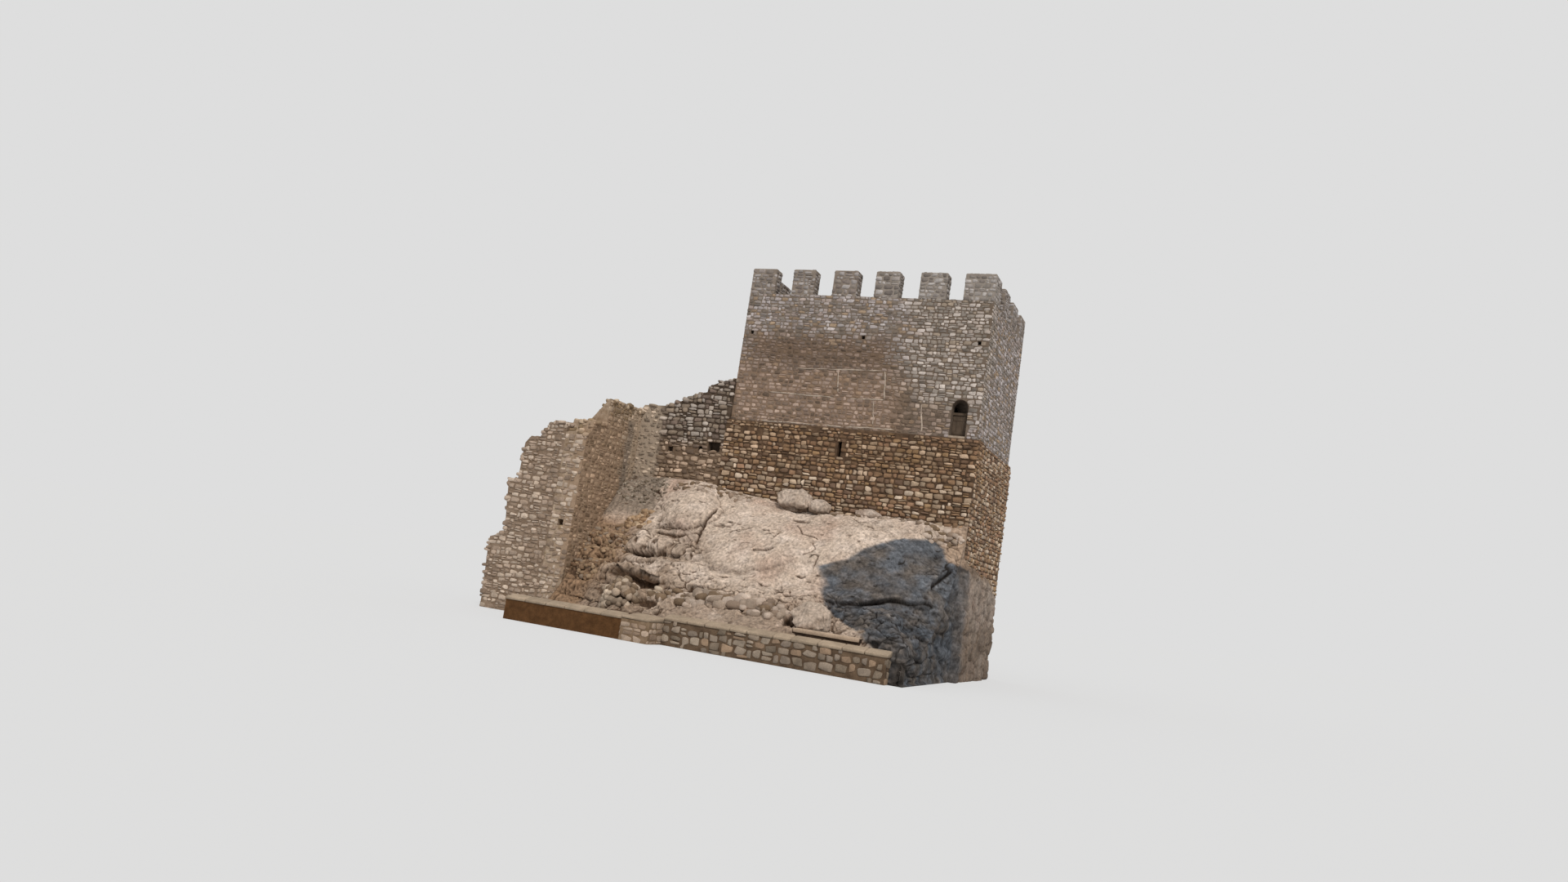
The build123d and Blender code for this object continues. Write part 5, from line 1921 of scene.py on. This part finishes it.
@dataclass
class LimeSeams:
    """Pale lime lines left on the upper front by the building lifts: ribbons with ragged edges."""

    width: float = 0.06
    proud: float = 0.026
    lines: tuple[Pairs, ...] = (
        *(((2.8, 13.34), (7.5, 13.48)), ((1.75, 12.10), (5.2, 12.03)), ((5.9, 12.06), (7.65, 12.09))),
        *(((7.47, 13.48), (7.66, 12.1)), ((7.11, 12.05), (7.27, 10.9)), ((9.42, 12.05), (9.58, 10.72))),
        *(((5.18, 13.35), (5.33, 12.3)), ((4.85, 10.72), (5.75, 10.68)), ((1.5, 10.66), (4.6, 10.69))),
        *(((5.8, 10.70), (8.4, 10.76)),),
    )
    steps: int = 64
    narrowest: float = 0.012
    wander: float = 0.05
    tint: str = "#a69789"

    SWAY = Noise(0.5, 3, 200)
    WIDTH = Noise(0.16, 3, 300)
    GAPS = Noise(0.45, 2, 400)
    ACROSS = (-1.0, -0.6, 0.6, 1.0)
    RAISED = (0.0, 1.0, 1.0, 0.0)

    def build(self) -> None:
        """Lay each ribbon just over the stones: a line, widened both ways by noise, its edges sunk."""
        patches = []
        along = np.linspace(0.0, 1.0, self.steps)
        for number, ends in enumerate(self.lines):
            start, end = np.array(ends)
            course = start + along[:, None] * (end - start)
            path = np.stack([KEEP_X + course[:, 0], np.full(self.steps, KEEP_Y), course[:, 1]], axis=1)
            sway = self.wander * self.SWAY.other(number).at(path)
            half = self.width * (0.55 + 0.45 * self.WIDTH.other(number).at(path))
            half = np.maximum(half, self.narrowest) * ease(np.minimum(along, 1.0 - along) * 12.0)
            half *= ease(0.9 + 1.6 * self.GAPS.other(number).at(path))
            ahead = (end - start) / np.linalg.norm(end - start)
            aside = np.array([-ahead[1], 0.0, ahead[0]])
            offset = sway[:, None] + half[:, None] * np.array(self.ACROSS)
            points = path[:, None] + aside * offset[..., None]
            points[..., 1] -= np.array(self.RAISED) * self.proud
            patches.append(sheet(points, np.full(points.shape, paint(self.tint)), flip=True))
        Patch.joined(patches).place("lime_seams", StoneFinish("lime", mottle=0.3).material(), "keep_stone")


@dataclass
class Studio:
    """Pale floor, soft light and the photograph's camera."""

    backdrop: float = 0.730
    floor_radius: float = 900.0
    floor_sides: int = 96
    floor_glow: float = 0.72
    sky: Colour = (0.96, 0.98, 1.0)
    sky_strength: float = 0.62
    sun: Colour = (1.0, 0.96, 0.90)
    sun_strength: float = 1.9
    sun_width: float = math.radians(14.0)
    sun_way: Triple = (-0.40, 0.62, -0.68)
    camera_place: Triple = (21.185, -45.45, 2.98)
    yaw: float = math.radians(23.17)
    pitch: float = math.radians(7.71)
    roll: float = math.radians(8.52)
    lens: float = 24.44
    far: float = 3000.0

    def build(self) -> None:
        """Set up floor, world, lamps, camera and colour transform."""
        self.floor()
        self.world()
        self.lamps()
        self.camera()
        bpy.context.scene.view_settings.view_transform = "Standard"

    @staticmethod
    def seen_mix(tree: bpy.types.NodeTree, end: str, kinds: tuple[str, str], share: float) -> list:
        """Mix of two shaders: the camera sees the second by a share, all else meets the first.

        Args:
            tree: node tree, which is emptied first.
            end: kind of its output.
            kinds: kinds of the two shaders.
            share: share of the second that the camera sees.

        Returns:
            The two shader nodes.
        """
        tree.nodes.clear()
        wanted = (end, "ShaderNodeMixShader", "ShaderNodeLightPath", "ShaderNodeMath", *kinds)
        output, mixed, path, part, first, second = (tree.nodes.new(kind) for kind in wanted)
        part.operation = "MULTIPLY"
        part.inputs[1].default_value = share
        tree.links.new(path.outputs["Is Camera Ray"], part.inputs[0])
        tree.links.new(part.outputs[0], mixed.inputs["Fac"])
        tree.links.new(first.outputs[0], mixed.inputs[1])
        tree.links.new(second.outputs[0], mixed.inputs[2])
        tree.links.new(mixed.outputs["Shader"], output.inputs["Surface"])
        return [first, second]

    def floor(self) -> None:
        """Wide round floor that looks as pale as the background and still takes a soft shadow."""
        angle = np.linspace(0.0, math.tau, self.floor_sides, endpoint=False)
        rim = np.stack([np.cos(angle), np.sin(angle), 0.0 * angle], axis=1) * self.floor_radius
        mesh = bpy.data.meshes.new("floor")
        mesh.from_pydata(rim.tolist(), [], [list(range(len(rim)))])
        material = bpy.data.materials.new("pale_floor")
        material.use_nodes = True
        kinds = ("ShaderNodeBsdfDiffuse", "ShaderNodeEmission")
        for node in self.seen_mix(material.node_tree, "ShaderNodeOutputMaterial", kinds, self.floor_glow):
            node.inputs["Color"].default_value = (*(self.backdrop,) * 3, 1.0)
        mesh.materials.append(material)
        add_object("floor", mesh)

    def world(self) -> None:
        """Even pale surroundings, shown to the camera at the backdrop's own tone."""
        world = bpy.data.worlds.new("studio")
        bpy.context.scene.world = world
        world.use_nodes = True
        kinds = ("ShaderNodeBackground", "ShaderNodeBackground")
        light, shown = self.seen_mix(world.node_tree, "ShaderNodeOutputWorld", kinds, 1.0)
        light.inputs["Color"].default_value = (*self.sky, 1.0)
        light.inputs["Strength"].default_value = self.sky_strength
        shown.inputs["Color"].default_value = (*(self.backdrop,) * 3, 1.0)

    def lamps(self) -> None:
        """One broad key light from the upper right of the front."""
        lamp = bpy.data.lights.new("key", "SUN")
        lamp.energy = self.sun_strength
        lamp.angle = self.sun_width
        lamp.color = self.sun
        key = add_object("key", lamp)
        key.rotation_mode = "QUATERNION"
        key.rotation_quaternion = Vector(self.sun_way).to_track_quat("-Z", "Y")

    def camera(self) -> None:
        """Camera at the photograph's place, tilted up and rolled as it was."""
        data = bpy.data.cameras.new("camera")
        data.lens = self.lens
        data.clip_end = self.far
        camera = add_object("camera", data)
        pose = Matrix.Translation(self.camera_place)
        for angle, axis in ((self.yaw, "Z"), (math.pi / 2.0 + self.pitch, "X"), (self.roll, "Z")):
            pose = pose @ Matrix.Rotation(angle, 4, axis)
        camera.matrix_world = pose
        bpy.context.scene.camera = camera


def main() -> None:
    """Build the castle's looks piece by piece, then the studio round it."""
    logging.basicConfig(level=logging.INFO, format="%(name)s: %(message)s")
    for assembly in (Keep(), Battlements(), Ruin(), Crag(), LowWall(), Doorway(), LimeSeams(), Studio()):
        assembly.build()


if __name__ == "__main__":
    main()
